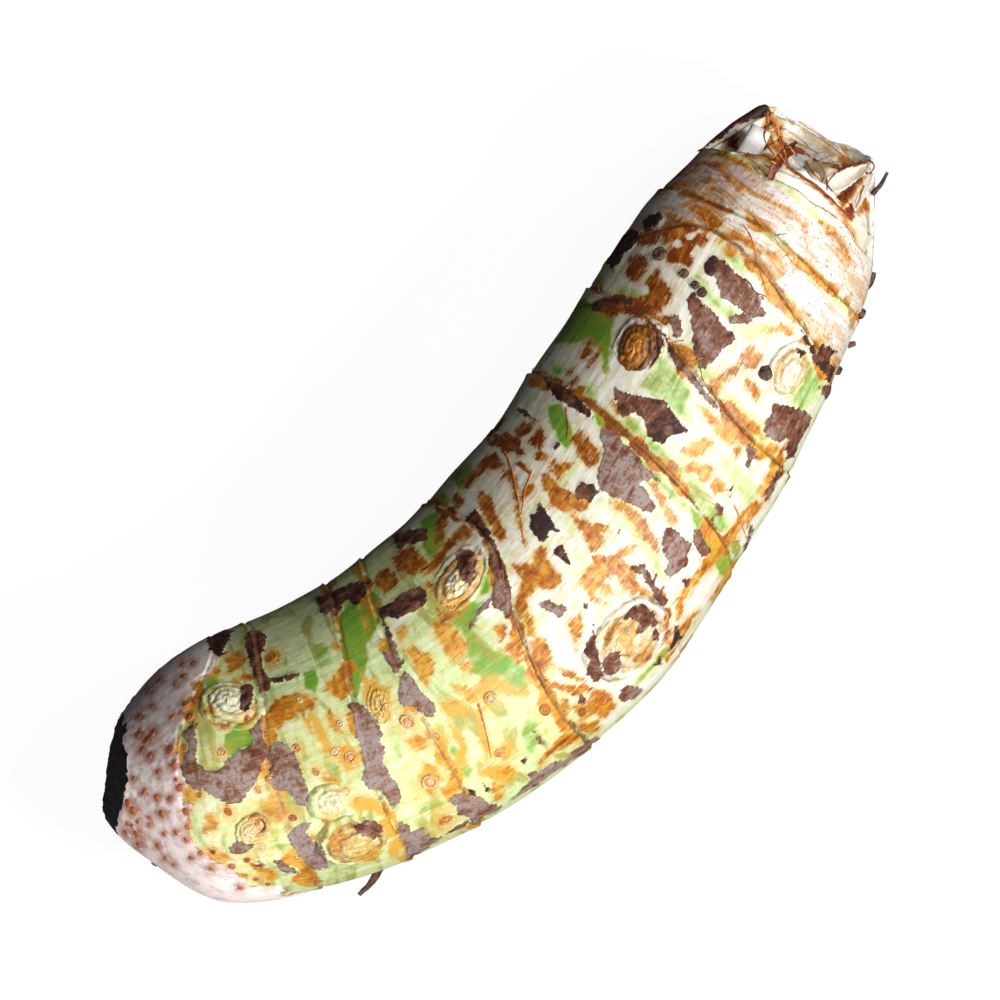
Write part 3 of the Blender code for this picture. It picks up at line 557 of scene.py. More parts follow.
# Rust on the crown's veil: how strong, how soft its edge is in pixels, and its outline.
veilRust = (
    (0.9, 7, 664,168, 26,-10, 56,-18, 81,-6, 106,18, 88,24, 66,18, 36,24, 8,16),
    (0.45, 5, 742,176, 28,14, 68,46, 84,68, 70,64, 48,46, 24,30, 6,20),
    (0.5, 5, 816,218, 20,6, 36,28, 40,58, 26,44, 12,22),
    (0.4, 4, 790,214, 16,12, 28,32, 16,30, 2,16),
    (0.35, 5, 700,150, 30,0, 50,14, 30,14),
)


def corners(numbers):
    # The corners of an outline or path from its first one and the steps to the others.
    points = np.array(numbers, float).reshape(-1, 2)
    points[1:] += points[0]
    return points


def besideLine(x, y, path):
    # Distance to an open line.
    best = np.full(x.shape, 1e9)
    for (ax, ay), (bx, by) in zip(path, path[1:]):
        ex, ey = bx - ax, by - ay
        t = np.clip(((x - ax) * ex + (y - ay) * ey) / (ex * ex + ey * ey), 0, 1)
        best = np.minimum(best, np.hypot(x - ax - t * ex, y - ay - t * ey))
    return best


def depthInside(x, y, outline):
    # Signed distance to a closed outline, more than nothing inside it.
    closed = np.vstack([outline, outline[:1]])
    inside = np.zeros(x.shape, bool)
    for (ax, ay), (bx, by) in zip(closed, closed[1:]):
        inside ^= ((ay > y) != (by > y)) & (x < ax + (y - ay) * (bx - ax) / (by - ay or 1e-9))
    away = besideLine(x, y, closed)
    return np.where(inside, away, -away)


def nearOutline(x, y, outline, reach):
    (left, top), (right, bottom) = outline.min(axis=0) - reach, outline.max(axis=0) + reach
    return (x > left) & (x < right) & (y > top) & (y < bottom)


def patchField(x, y, patches, reach=12):
    # Depth in mm inside the nearest patch, and that patch's tone.
    depth = np.full(x.shape, -reach * pixel)
    tone = np.full(x.shape, 0.4)
    for patch in patches:
        outline = corners(patch[1:])
        near = nearOutline(x, y, outline, reach)
        here = depthInside(x[near], y[near], outline) * pixel
        deeper = here > depth[near]
        places = np.flatnonzero(near)[deeper]
        depth[places] = here[deeper]
        tone[places] = patch[0]
    return depth, tone


def softShares(x, y, patches):
    # For each soft patch its strength, the points near it and how far they are in it, 0 to 1.
    for strength, softness, *numbers in patches:
        outline = corners(numbers)
        near = nearOutline(x, y, outline, softness)
        yield strength, near, smoothStep(depthInside(x[near], y[near], outline), -softness, softness)


def softPatches(x, y, patches):
    # The strongest of the soft patches at each point.
    total = np.zeros(x.shape)
    for strength, near, share in softShares(x, y, patches):
        total[near] = np.maximum(total[near], strength * share)
    return total


def softBands(x, y, bands):
    # The same for bands that fade to both sides of a line.
    total = np.zeros(x.shape)
    for strength, halfWidth, *numbers in bands:
        path = corners(numbers)
        near = nearOutline(x, y, path, halfWidth * 2.5)
        away = besideLine(x[near], y[near], path)
        total[near] = np.maximum(total[near], strength * np.exp(-((away / halfWidth) ** 2)))
    return total


def linked(name, data):
    made = bpy.data.objects.new(name, data)
    bpy.context.scene.collection.objects.link(made)
    return made


def outwards(mesh):
    # Turns a closed mesh so that its faces point out.
    points = np.array([v.co for v in mesh.vertices])
    mesh.calc_loop_triangles()
    a, b, c = points[np.array([t.vertices for t in mesh.loop_triangles])].transpose(1, 0, 2)
    if np.einsum("ij,ij->i", a, np.cross(b, c)).sum() < 0:
        mesh.flip_normals()


def setAttribute(piece, name, values):
    values = np.asarray(values, float)
    kind, key = ("FLOAT_VECTOR", "vector") if values.ndim == 2 else ("FLOAT", "value")
    piece.data.attributes.new(name, kind, "POINT").data.foreach_set(key, values.ravel())


def newPiece(name, points, faces, material, **marks):
    # A smooth closed mesh from points in mm, with the marks that its material reads.
    mesh = bpy.data.meshes.new(name)
    mesh.from_pydata((np.asarray(points) * mm).tolist(), [], faces)
    mesh.validate()
    outwards(mesh)
    mesh.shade_smooth()
    mesh.materials.append(material)
    piece = linked(name, mesh)
    for label, values in marks.items():
        setAttribute(piece, label, values)
    print(name + ":", len(faces), "faces")
    return piece


def closedFaces(rows, sides, start=0):
    # Faces of a closed skin over rings of points, with a point at each end.
    last = start + rows * sides + 1
    faces = []
    for k in range(sides):
        ahead = (k + 1) % sides
        faces.append((start, start + 1 + k, start + 1 + ahead))
        faces.append((last, last - sides + ahead, last - sides + k))
        for row in range(rows - 1):
            low, high = start + 1 + row * sides, start + 1 + (row + 1) * sides
            faces.append((low + k, high + k, high + ahead, low + ahead))
    return faces


def closeEnds(rings):
    # The rings' points with the middle of the first and the last ring before and after them.
    rings = np.asarray(rings, float)
    flat = rings.reshape(-1, *rings.shape[2:])
    return np.concatenate([rings[0].mean(axis=0)[None], flat, rings[-1].mean(axis=0)[None]])


def closeAll(bundles):
    return np.concatenate([closeEnds(rings) for rings in bundles])


def skinOver(bundles):
    # Points and faces of several closed skins, each over its own rings.
    faces, start = [], 0
    for rings in bundles:
        count, sides = np.asarray(rings).shape[:2]
        faces += closedFaces(count, sides, start)
        start += count * sides + 2
    return closeAll(bundles), faces


def circle(sides):
    return np.linspace(0, 2 * math.pi, sides, endpoint=False)


def alongPath(values, samples):
    return np.interp(np.linspace(0, 1, samples), np.linspace(0, 1, len(values)), values)


def ribbon(path, left, right, thickness, facing, curl, rag, seed, samples=30, across=9):
    # Rings of a thin strip that follows a path in mm: half widths to both sides at each place.
    path = smoothCurve(path, samples)
    spot = np.linspace(0, 1, samples)[:, None] * 20
    left, right, thick = (alongPath(values, samples)[:, None] for values in (left, right, thickness))
    way = unit(np.gradient(path, axis=0))
    side = unit(np.cross(way, np.array(facing, float)))
    facing = np.cross(side, way)
    torn = rag * noiseAt(path + seed, 1.1, seed)[:, None]
    share = np.linspace(-1, 1, across)
    reach = np.where(share < 0, left, right) * share * (1 + torn * np.abs(share) ** 3)
    uneven = noiseAt(np.stack(np.broadcast_arrays(spot, share * 3, seed), -1), 1.3)
    lift = curl * (share**2 - 0.4) + 0.15 * uneven
    taper = (thick * np.sqrt(1 - 0.5 * share**2) / 2)[..., None]
    middle = path[:, None] + side[:, None] * reach[..., None] + facing[:, None] * lift[..., None]
    upper, lower = middle + facing[:, None] * taper, middle - facing[:, None] * taper
    return np.concatenate([upper, lower[:, ::-1]], axis=1)


def tube(path, radii, sides, wrinkle, seed, samples=24):
    # Rings of a wrinkled round strand that follows a path in mm.
    path = smoothCurve(path, samples)
    way = unit(np.gradient(path, axis=0))
    side = unit(np.cross(way, (0.13, 0.21, 1.0)))
    other = np.cross(way, side)
    a = circle(sides)[None, :, None]
    rings = side[:, None] * np.cos(a) + other[:, None] * np.sin(a)
    uneven = 1 + wrinkle * noiseAt(path[:, None] * 0.5 + rings * 1.5 + seed, 1.0)
    return path[:, None] + rings * (alongPath(radii, samples)[:, None] * uneven)[..., None]


# Node helpers

def colour(red, green, blue):
    # The surface colour that shows as this colour on the screen under the key light.
    parts = [c / 12.92 if c <= 0.04045 else ((c + 0.055) / 1.055) ** 2.4 for c in (red, green, blue)]
    return (*(c * 0.78 for c in parts), 1.0)


def feed(socket, value):
    if isinstance(value, bpy.types.NodeSocket):
        socket.id_data.links.new(value, socket)
    else:
        socket.default_value = value


def put(tree, kind, inputs=(), **settings):
    # A node with its settings, and then its inputs by name or number.
    made = tree.nodes.new(kind)
    for key, value in settings.items():
        setattr(made, key, value)
    for key, value in dict(inputs).items():
        feed(made.inputs[key], value)
    return made


def after(kind, inputs, output=0, **settings):
    # What a new node makes of sockets, in the same tree as they are.
    inputs = dict(inputs)
    tree = next(value.id_data for value in inputs.values() if isinstance(value, bpy.types.NodeSocket))
    return put(tree, kind, inputs, **settings).outputs[output]


def calc(operation, *values):
    return after("ShaderNodeMath", enumerate(values), operation=operation)


def times(value, *factors):
    for factor in factors:
        value = calc("MULTIPLY", value, factor)
    return value


def swing(noisy, size, onto):
    # Noise centred on nothing, times a size, added to a value.
    return calc("MULTIPLY_ADD", calc("SUBTRACT", noisy, 0.5), size, onto)


def spread(value, low, high, toLow=0.0, toHigh=1.0):
    inputs = {"Value": value, "From Min": low, "From Max": high, "To Min": toLow, "To Max": toHigh}
    return after("ShaderNodeMapRange", inputs, interpolation_type="SMOOTHSTEP")


def blend(share, under, over):
    return after("ShaderNodeMix", {0: share, 6: under, 7: over}, 2, data_type="RGBA")


def ramp(value, stops):
    made = put(value.id_data, "ShaderNodeValToRGB", {0: value})
    elements = made.color_ramp.elements
    while len(elements) < len(stops):
        elements.new(0.5)
    for element, (place, shade) in zip(elements, stops):
        element.position = place
        element.color = shade
    return made.outputs[0]


def read(tree, name, part="Fac"):
    return put(tree, "ShaderNodeAttribute", attribute_name=name).outputs[part]


def scaled(vector, factors):
    return after("ShaderNodeVectorMath", {0: vector, 1: factors}, operation="MULTIPLY")


def cloud(place, scale, detail=3.0, roughness=0.6, distortion=0.0):
    # Noise at a place in metres times a scale, one number or one for each direction.
    if isinstance(scale, tuple):
        place, scale = scaled(place, scale), 1.0
    inputs = {"Vector": place, "Scale": scale, "Detail": detail, "Roughness": roughness}
    return after("ShaderNodeTexNoise", dict(inputs, Distortion=distortion))


def objectCloud(tree, scale):
    return cloud(put(tree, "ShaderNodeTexCoord").outputs["Object"], scale)


def newMaterial(name):
    material = bpy.data.materials.new(name)
    material.use_nodes = True
    return material, material.node_tree, material.node_tree.nodes["Principled BSDF"]


def coat(shader, base, roughness, height, strength, depth):
    # The shader's colour and roughness, and its relief with a depth in mm.
    relief = after("ShaderNodeBump", {"Strength": strength, "Distance": depth * mm, "Height": height})
    for name, value in (("Base Color", base), ("Roughness", roughness), ("Normal", relief)):
        feed(shader.inputs[name], value)


socketKinds = {float: "Float", int: "Int"}


def newTree(name, kind, inputs, outputs):
    # A node group whose sockets take their kind from a default value or from its name.
    tree = bpy.data.node_groups.new(name, kind)
    for way, sockets in (("INPUT", inputs), ("OUTPUT", outputs)):
        for label, value in sockets.items():
            named = isinstance(value, str)
            word = "NodeSocket" + (value if named else socketKinds[type(value)])
            socket = tree.interface.new_socket(label, in_out=way, socket_type=word)
            if not named:
                socket.default_value = value
    return tree, put(tree, "NodeGroupInput").outputs, put(tree, "NodeGroupOutput").inputs


def makeGrain():
    # Grain that runs along the corm: how long and how wide its threads are, in mm.
    tree, given, out = newTree("corm grain", "ShaderNodeTree", {
        "Place": "Vector",
        "Length": 12.0,
        "Width": 1.0,
        "Seed": 0.0,
    }, {"Value": "Float"})
    along, across = (calc("DIVIDE", 1 / mm, given[size]) for size in ("Length", "Width"))
    factors = after("ShaderNodeCombineXYZ", enumerate((along, across, across)))
    place = scaled(given["Place"], factors)
    moved = after("ShaderNodeVectorMath", {0: place, 1: given["Seed"]}, operation="ADD")
    feed(out["Value"], cloud(moved, 1.0, distortion=0.3))
    return tree


def makeRaggedEdge():
    # A patch's depth in mm, torn along its edge, as a mask.
    tree, given, out = newTree("ragged edge", "ShaderNodeTree", {
        "Depth": 0.0,
        "Tear": 0.5,
        "Reach": 1.5,
        "Softness": 0.15,
    }, {"Mask": "Float", "Torn Depth": "Float"})
    torn = swing(given["Tear"], times(given["Reach"], 4.0), given["Depth"])
    feed(out["Mask"], spread(torn, times(given["Softness"], -1.0), given["Softness"]))
    feed(out["Torn Depth"], torn)
    return tree


grain = makeGrain()
raggedEdge = makeRaggedEdge()


def threadsOf(place, length, width, seed=0.0):
    inputs = {"Place": place, "Length": length, "Width": width, "Seed": seed}
    return after("ShaderNodeGroup", inputs, node_tree=grain)


def tornPatch(depth, tear, reach, softness):
    # The mask and the torn depth of a patch.
    inputs = {"Depth": depth, "Tear": tear, "Reach": reach, "Softness": softness}
    return put(depth.id_data, "ShaderNodeGroup", inputs, node_tree=raggedEdge).outputs


fleshColours = {
    "cream": (0.97, 0.96, 0.91),
    "lime": (0.86, 0.93, 0.69),
    "green": (0.42, 0.66, 0.20),
    "olive": (0.60, 0.60, 0.18),
    "amber": (0.88, 0.68, 0.26),
    "rust": (0.79, 0.48, 0.08),
    "brownRust": (0.52, 0.22, 0.02),
    "dustySkin": (0.63, 0.55, 0.52),
    "greySkin": (0.53, 0.37, 0.27),
    # Dark skin, and also the painted shade of a few skin patches
    "brownSkin": (0.44, 0.23, 0.13),
    "darkSkin": (0.18, 0.05, 0.03),
    "skinRim": (0.34, 0.19, 0.10),
    "scarLine": (0.46, 0.28, 0.09),
    "bark": (1.07, 1.0, 0.98),
    "barkShade": (0.92, 0.84, 0.82),
    "barkSpot": (0.70, 0.40, 0.20),
    "barkLip": (0.66, 0.42, 0.16),
    # Painted shade: the broken face at the root end is painted nearly black
    "cutFace": (0.08, 0.08, 0.08),
    "veil": (0.97, 0.94, 0.92),
    "vein": (0.86, 0.64, 0.37),
    "veilSpeck": (0.50, 0.30, 0.14),
    "budGold": (0.86, 0.72, 0.40),
    "budBrown": (0.34, 0.19, 0.08),
}
tint = {name: colour(*rgb) for name, rgb in fleshColours.items()}
# The flesh's grain: how long and how wide its threads are in mm, and a seed.
fleshGrain = {"threads": (9.0, 0.55, 0.0), "broad": (22.0, 3.5, 5.0), "short": (3.2, 0.8, 3.0)}


def tintRamp(value, **places):
    return ramp(value, [(place, tint[name]) for name, place in places.items()])


def makeFleshMaterial():
    material, tree, shader = newMaterial("scraped flesh and skin")
    place = read(tree, "unbent", "Vector")
    threads, broad, short = (threadsOf(place, *sizes) for sizes in fleshGrain.values())
    mottle = cloud(place, 420.0, 4.0, 0.6, 0.5)
    patchy = cloud(place, (90, 150, 150), 3.0, 0.6, 0.8)
    tear = calc("MULTIPLY_ADD", threads, 0.45, times(mottle, 0.55))

    # Cream flesh, green towards the skin that was scraped off, with an amber breath in places
    greenish = swing(mottle, 0.6, swing(broad, 1.1, read(tree, "green")))
    base = blend(spread(greenish, 0.02, 0.34), tint["cream"], tint["lime"])
    base = blend(spread(greenish, 0.36, 0.85), base, tint["green"])
    bands = swing(short, 0.08, cloud(place, (170, 45, 45), 3.0, 0.6, 0.8))
    olive = times(spread(bands, 0.51, 0.66, 0.0, 0.8), spread(read(tree, "green"), 0.2, 0.36))
    base = blend(olive, base, tint["olive"])
    washed = swing(short, 0.5, swing(patchy, 1.0, 0.5))
    breath = calc("MAXIMUM", calc("MULTIPLY_ADD", read(tree, "green"), -1.1, 0.6), 0.0)
    base = blend(times(spread(washed, 0.5, 0.8), breath), base, tint["amber"])

    # The crown's pale veil, streaked along the cut edge and freckled brown
    streaks = cloud(read(tree, "band", "Vector"), (60, 60, 340), 4.0, 0.65, 0.9)
    freckles = cloud(place, (1300, 900, 900), 2.0, 0.5)
    streaked = spread(streaks, 0.42, 0.64)
    veilTint = blend(times(streaked, 0.8), tint["veil"], tint["vein"])
    veilTint = blend(spread(freckles, 0.6, 0.68, 0.0, 0.75), veilTint, tint["veilSpeck"])
    base = blend(read(tree, "veil"), base, veilTint)

    # Rust in torn patches inside an amber halo
    rustMask, rustInside = tornPatch(read(tree, "rustDepth"), tear, 1.5, 0.55)
    onVeil = times(read(tree, "veil"), calc("SUBTRACT", 1.0, streaked))
    halo = spread(swing(short, 3.5, rustInside), -2.2, 0.3, 0.0, 0.5)
    base = blend(calc("MULTIPLY_ADD", onVeil, -0.55, halo), base, tint["amber"])
    rustTone = swing(mottle, 2.0, swing(threads, 1.1, swing(patchy, 1.6, read(tree, "rustTone"))))
    rustTint = tintRamp(rustTone, amber=0.0, rust=0.4, brownRust=1.0)
    bare = calc("SUBTRACT", 1.0, spread(short, 0.58, 0.7, 0.0, 0.6))
    sparing = calc("MAXIMUM", calc("MULTIPLY_ADD", onVeil, -0.6, bare), 0.0)
    base = blend(times(rustMask, sparing), base, rustTint)

    # Leaf-scar lines
    scarInk = times(read(tree, "scarInk"), spread(broad, 0.36, 0.58, 0.35, 1.2))
    lineGap = calc("ABSOLUTE", swing(tear, 4.5, read(tree, "scarGap")))
    base = blend(times(spread(lineGap, 1.0, 0.2), scarInk), base, tint["scarLine"])

    # Buds: scales round a husk, with a dark line of painted shade in the crease under each scale
    budShare, budTone = read(tree, "budShare"), read(tree, "budTone")
    inner = spread(swing(mottle, 0.5, budShare), 0.9, 0.7)
    husk = tintRamp(swing(short, 1.5, budTone), cream=0.0, budGold=0.3, rust=0.6, budBrown=1.0)
    base = blend(times(inner, read(tree, "budFill")), base, husk)
    budLine = times(read(tree, "budLine"), spread(tear, 0.36, 0.6))
    base = blend(budLine, base, tint["scarLine"])

    # Bark at the root end, rusty round its dots, with its lip, and the broken face painted nearly black as
    # shade
    barkEdge = swing(tear, 3.5, read(tree, "barkGap"))
    greyer = calc("MULTIPLY_ADD", mottle, 0.5, times(patchy, 0.6))
    barkTint = blend(spread(greyer, 0.5, 0.72), tint["bark"], tint["barkShade"])
    barkTint = blend(spread(tear, 0.56, 0.7, 0.0, 0.6), barkTint, tint["barkSpot"])
    spotted = times(read(tree, "dotHalo"), spread(mottle, 0.3, 0.5))
    barkMask = spread(barkEdge, -0.25, 0.25)
    base = blend(barkMask, base, barkTint)
    spotTint = blend(barkMask, tint["amber"], tint["barkSpot"])
    spotted = times(spotted, calc("MULTIPLY_ADD", barkMask, 0.35, 0.6))
    base = blend(spotted, base, spotTint)
    lip = spread(calc("ABSOLUTE", swing(mottle, 2.0, barkEdge)), 0.9, 0.2)
    base = blend(times(lip, spread(broad, 0.38, 0.56, 0.0, 0.8)), base, tint["barkLip"])
    # The broken face: painted shade, nearly black
    base = blend(spread(swing(mottle, 1.2, read(tree, "cutFace")), 0.4, 0.6), base, tint["cutFace"])

    # Skin that is left, torn at its edges, grey to red-brown with pale flecks
    skinTear = calc("MULTIPLY_ADD", short, 0.45, times(mottle, 0.55))
    skinMask, skinInside = tornPatch(read(tree, "skinDepth"), skinTear, 1.0, 0.14)
    tone = swing(mottle, 2.0, swing(threads, 1.0, swing(patchy, 1.9, read(tree, "skinTone"))))
    skinTint = tintRamp(tone, dustySkin=0.05, greySkin=0.38, brownSkin=0.62, darkSkin=1.0)
    flecks = calc("MAXIMUM", spread(freckles, 0.54, 0.64, 0.0, 0.6), spread(short, 0.6, 0.7, 0.0, 0.35))
    flecks = times(flecks, spread(tone, 1.05, 0.7))
    skinTint = blend(flecks, skinTint, tint["brownSkin"])
    rim = times(spread(skinInside, 0.6, 0.0), spread(patchy, 0.4, 0.6, 0.1, 0.8))
    skinTint = blend(rim, skinTint, tint["skinRim"])
    base = blend(skinMask, base, skinTint)

    rough = calc("MULTIPLY_ADD", skinMask, 0.25, calc("MULTIPLY_ADD", mottle, 0.3, 0.32))
    height = calc("MULTIPLY_ADD", skinMask, 0.5, times(threads, 0.4))
    height = calc("MULTIPLY_ADD", short, 0.3, height)
    coat(shader, base, rough, calc("MULTIPLY_ADD", mottle, 0.45, height), 0.6, 0.4)
    return material


# The flesh: rows of points from the middle of the root face to the floor of the crown's cup.
flesh = {
    "sides": 232,
    "topCrowding": 0.4,
    "rowLength": 0.72,
    "faceEdge": (5.7, 4.0, -2.7, -1.0),
    "faceBulge": 3.6,
    "belowSkin": 0.4,
    "skinThickness": 0.32,
    "scarRidge": 0.22,
    "scarGroove": 0.45,
    "stepShare": 0.35,
    "greenBelow": 0.36,
    "greenAbove": 0.06,
    "greenGain": 1.35,
}
crown = {
    "rim": (260.5, 268.5, 287.5),
    "climb": 0.5,
    "raggedness": ((1.2, 2), (0.8, 5)),
    "hollowReach": 6.5,
    "wall": 0.92,
    "cupDepth": 9.0,
    "lip": ((0.0, 1.0), (0.35, 0.985), (0.45, 0.96), (0.3, 0.93), (0.0, 0.92)),
}


def fourSided(values, angle):
    hollow, top, bulge, under = values
    return (sum(values) / 4 + (hollow - bulge) / 2 * np.cos(angle) + (top - under) / 2 * np.sin(angle)
            + (hollow + bulge - top - under) / 4 * np.cos(2 * angle))


def rimAt(rim, angle, seed):
    # The slanting cut across the crown: low at the sides, highest underneath.
    side, top, under = rim
    height = np.sin(angle)
    climb = smoothStep(-height, 0, crown["climb"])
    turns = np.stack([np.cos(angle), height, np.full(np.shape(angle), seed)], -1)
    rag = sum(size * noiseAt(turns * waves, 1.0) for size, waves in crown["raggedness"])
    return side + (top - side) * np.maximum(height, 0) ** 2 + (under - side) * climb + rag


def outerRim(angle):
    # The outer sheath reaches further on the hollow side.
    reach = smoothStep(np.cos(angle), 0.1, 0.85) * smoothStep(np.sin(angle), -0.35, 0.0)
    return rimAt(crown["rim"], angle, 1.0) + crown["hollowReach"] * reach


def fleshRows():
    # The angles, and in rows: u, radius, gap to the nearest leaf scar, that scar's ink and how far
    # inside the broken face's edge.
    even = circle(flesh["sides"])
    angle = even + flesh["topCrowding"] * np.cos(even)
    rows = []

    def add(u, radius, gap=20.0, ink=0.0, face=-5.0):
        rows.append([np.broadcast_to(value, angle.shape) for value in (u, radius, gap, ink, face)])

    edgeU = fourSided(flesh["faceEdge"], angle)
    edgeRadius = girthAt(edgeU) + lumpsAt(edgeU, angle)
    middle = edgeU.mean()
    for share in np.linspace(0.04, 0.98, 22):
        u = middle + (edgeU - middle) * share - flesh["faceBulge"] * (1 - share**2)
        add(u, edgeRadius * share, face=edgeRadius * (1 - share))
    stations = [(edgeU, 0.0, 0.0, 0.0)]
    stations += [(roundCorm(u, angle), stands, drawnIn, ink) for u, stands, drawnIn, ink in leafScars]
    rim = outerRim(angle)
    stations.append((rim, 0.0, 0.0, 0.0))
    for number, (low, high) in enumerate(zip(stations, stations[1:])):
        (lowU, _, drawnIn, lowInk), (highU, stands, _, highInk) = low, high
        count = int(np.mean(highU - lowU) / flesh["rowLength"])
        for s in np.arange(count) / count:
            t = s - 0.4 * math.sin(2 * math.pi * s) / (2 * math.pi)
            u = lowU + (highU - lowU) * t
            relief = flesh["stepShare"] * (stands * t**4 - drawnIn * (1 - t) ** 1.5)
            below, above = u - lowU, highU - u
            if number == 0:
                below = below + 20
            if number == len(stations) - 2:
                above = above + 20
            gap = np.where(below < above, below, -above)
            ink = np.where(below < above, lowInk, highInk)
            add(u, girthAt(u) + relief + lumpsAt(u, angle), gap, ink, edgeU - u)
    radius = girthAt(rim)
    wall = crown["wall"]
    for lift, share in crown["lip"]:
        add(rim + lift - 0.45, radius * share)
    for fall in np.linspace(0.1, 1, 8):
        add(rim - crown["cupDepth"] * fall, radius * (wall - 0.03 * fall))
    for share in np.linspace(0.95, 0.06, 12):
        u = (rim - crown["cupDepth"] - rim.mean()) * share + rim.mean() - 3.0 * (1 - share)
        add(u, radius * (wall - 0.03) * share)
    return angle, *np.array(rows).transpose(1, 0, 2)


def dotHalos(x, y):
    # How close each point is to its nearest root scar, 0 to 1.
    total = np.zeros(x.shape)
    for spotX, spotY, radius, *_ in ringScars + barkDots:
        near = (np.abs(x - spotX) < radius * 4) & (np.abs(y - spotY) < radius * 4)
        away = np.hypot(x[near] - spotX, y[near] - spotY) / radius
        total[near] = np.maximum(total[near], np.exp(-((away / 2.1) ** 2)))
    return total


def skinMarks(points, straight, along, around, gap=20.0, ink=0.0):
    # What each point of the skin carries, from its place in the photograph or, on the hidden
    # underside, from smooth noise.
    x, y = inPicture(points)
    skinDepth, skinTone = patchField(x, y, skinPatches)
    rustDepth, rustTone = patchField(x, y, rustPatches)
    veilDepth = softPatches(x, y, veilRust)
    veilTone = 0.8 * veilDepth - 0.1
    green = softPatches(x, y, greenPatches)
    rims = softBands(x, y, rimBands)
    for spotX, spotY, radius in paleSpots:
        rustDepth = rustDepth - 5 * np.exp(-(((x - spotX) ** 2 + (y - spotY) ** 2) / radius**2))
    under = smoothStep(-np.sin(around), 0.1, 0.45) * (1 - smoothStep(along, 254, 260))
    narrower = straight * np.array([1, 1.6, 1.6])
    hiddenSkin = noiseAt(narrower, 13.0, 3.1) * 12 + noiseAt(straight, 4.0, 6.3) * 8 - 4.6
    hiddenSkin -= 3 * smoothStep(along, 236, 246)
    stretched = straight * np.array([0.5, 1, 1])
    hiddenRust = noiseAt(stretched, 9.0, 8.7) * 10 + noiseAt(stretched, 3.2, 4.9) * 8 - 3.2
    flank = smoothStep(-np.sin(around), -0.15, 0.1)
    rustDepth = np.maximum(rustDepth, (hiddenRust - 0.6) * flank - 3 * (1 - flank))
    skinDepth = np.clip(skinDepth, -3, 4) * (1 - under) + np.clip(hiddenSkin, -3, 4) * under
    rustDepth = np.clip(rustDepth, -3, 4) * (1 - under) + np.clip(hiddenRust, -3, 4) * under
    baseline = flesh["greenBelow"] + (flesh["greenAbove"] - flesh["greenBelow"]) * smoothStep(along, 112, 128)
    green = green * (1 - under) + (0.12 + noiseAt(straight, 30.0, 5.5)) * under
    strip = ink * np.exp(-(((gap - 2.6) / 2.4) ** 2)) * smoothStep(noiseAt(straight, 14.0, 9.3), -0.12, 0.15)
    baseline = np.maximum(baseline, 0.34 * smoothStep(-np.sin(around), -0.4, -0.05))
    green = np.maximum(np.maximum(green * flesh["greenGain"], baseline), rims * 0.8)
    green = np.maximum(green, strip * 0.9)
    edging = (1.7 - np.abs(gap + 0.5)) * ink * 1.8 + noiseAt(straight, 6.0, 1.9) * 8 - 0.9
    rustDepth = np.maximum(rustDepth, np.where(np.abs(gap) < 5, edging, -3))
    barkGap = roundCorm(leafScars[0][0], around) - along
    barkGap = barkGap + 5.0 * noiseAt(straight, 9.0, 2.9) + 2.0 * noiseAt(straight, 2.5, 7.9)
    veilEdge = roundCorm(leafScars[-2][0], around)
    veil = smoothStep(along - veilEdge + noiseAt(straight, 6.0, 4.4) * 3, -1.0, 3.0)
    veil = veil * (1 - smoothStep(rims, 0.08, 0.25)) * 0.85
    rustTone = rustTone - 0.25 * (1 - smoothStep(along, 95, 125))
    onVeil = veilDepth * 4 - 1.6
    rustTone = np.where(onVeil > rustDepth, veilTone, rustTone)
    rustDepth = np.maximum(rustDepth, onVeil)
    band = np.stack([30 * np.cos(around), 30 * np.sin(around), along - outerRim(around)], -1) * mm
    return dict(skinDepth=skinDepth, skinTone=skinTone, rustDepth=rustDepth, rustTone=rustTone, green=green,
                barkGap=barkGap, veil=veil, band=band, dotHalo=dotHalos(x, y) * (1 - under))


def insideBox(points):
    # Keeps points in mm inside the CAD model's box.
    low, high = (np.array(corner) / mm for corner in cadBox)
    return np.clip(points, low + 0.02, high - 0.02)


def makeFlesh(material):
    angle, u, radius, *others = fleshRows()
    points = closeEnds(onCorm(u, angle, radius))
    straight = closeEnds(unbent(u, angle, radius))
    along, gap, ink, face = (closeEnds(values) for values in (u, *others))
    around = closeEnds(np.broadcast_to(angle, u.shape))
    piece = newPiece("cormFlesh", points, closedFaces(*u.shape), material)
    marks = skinMarks(points, straight, along, around, gap, ink)
    # The broken face: a mask for its rough relief and for its painted shade
    brokenFaceAndShade = face + noiseAt(points, 5.0, 7.3) * 3.2 + noiseAt(points, 1.6, 3.3) * 1.4
    brokenFaceAndShade = smoothStep(brokenFaceAndShade, -0.3, 0.5)
    marks.update(scarGap=gap, scarInk=ink, cutFace=brokenFaceAndShade, budShare=np.full(len(points), 2.0),
                 unbent=straight * mm)
    normals = np.array([v.normal for v in piece.data.vertices])
    rise = smoothStep(marks["skinDepth"] + noiseAt(straight, 2.0, 2.2), -0.3, 0.4)
    rise = np.maximum(rise, smoothStep(marks["barkGap"], -0.6, 0.6))
    relief = -flesh["belowSkin"] + flesh["skinThickness"] * rise
    relief += flesh["scarRidge"] * ink * np.exp(-((gap + 0.9) / 0.7) ** 2)
    relief -= flesh["scarGroove"] * ink * np.exp(-((gap - 0.5) / 0.6) ** 2)
    relief += 0.14 * noiseAt(straight * np.array([0.15, 1, 1]), 1.6, 6.1)
    relief += 0.5 * marks["cutFace"] * (noiseAt(points, 2.5, 7.7) + 0.5 * noiseAt(points, 0.9, 2.7))
    out = insideBox(points + normals * relief[:, None])
    piece.data.vertices.foreach_set("co", (out * mm).ravel())
    piece.data.update()
    for name, values in marks.items():
        setAttribute(piece, name, values)
    return piece


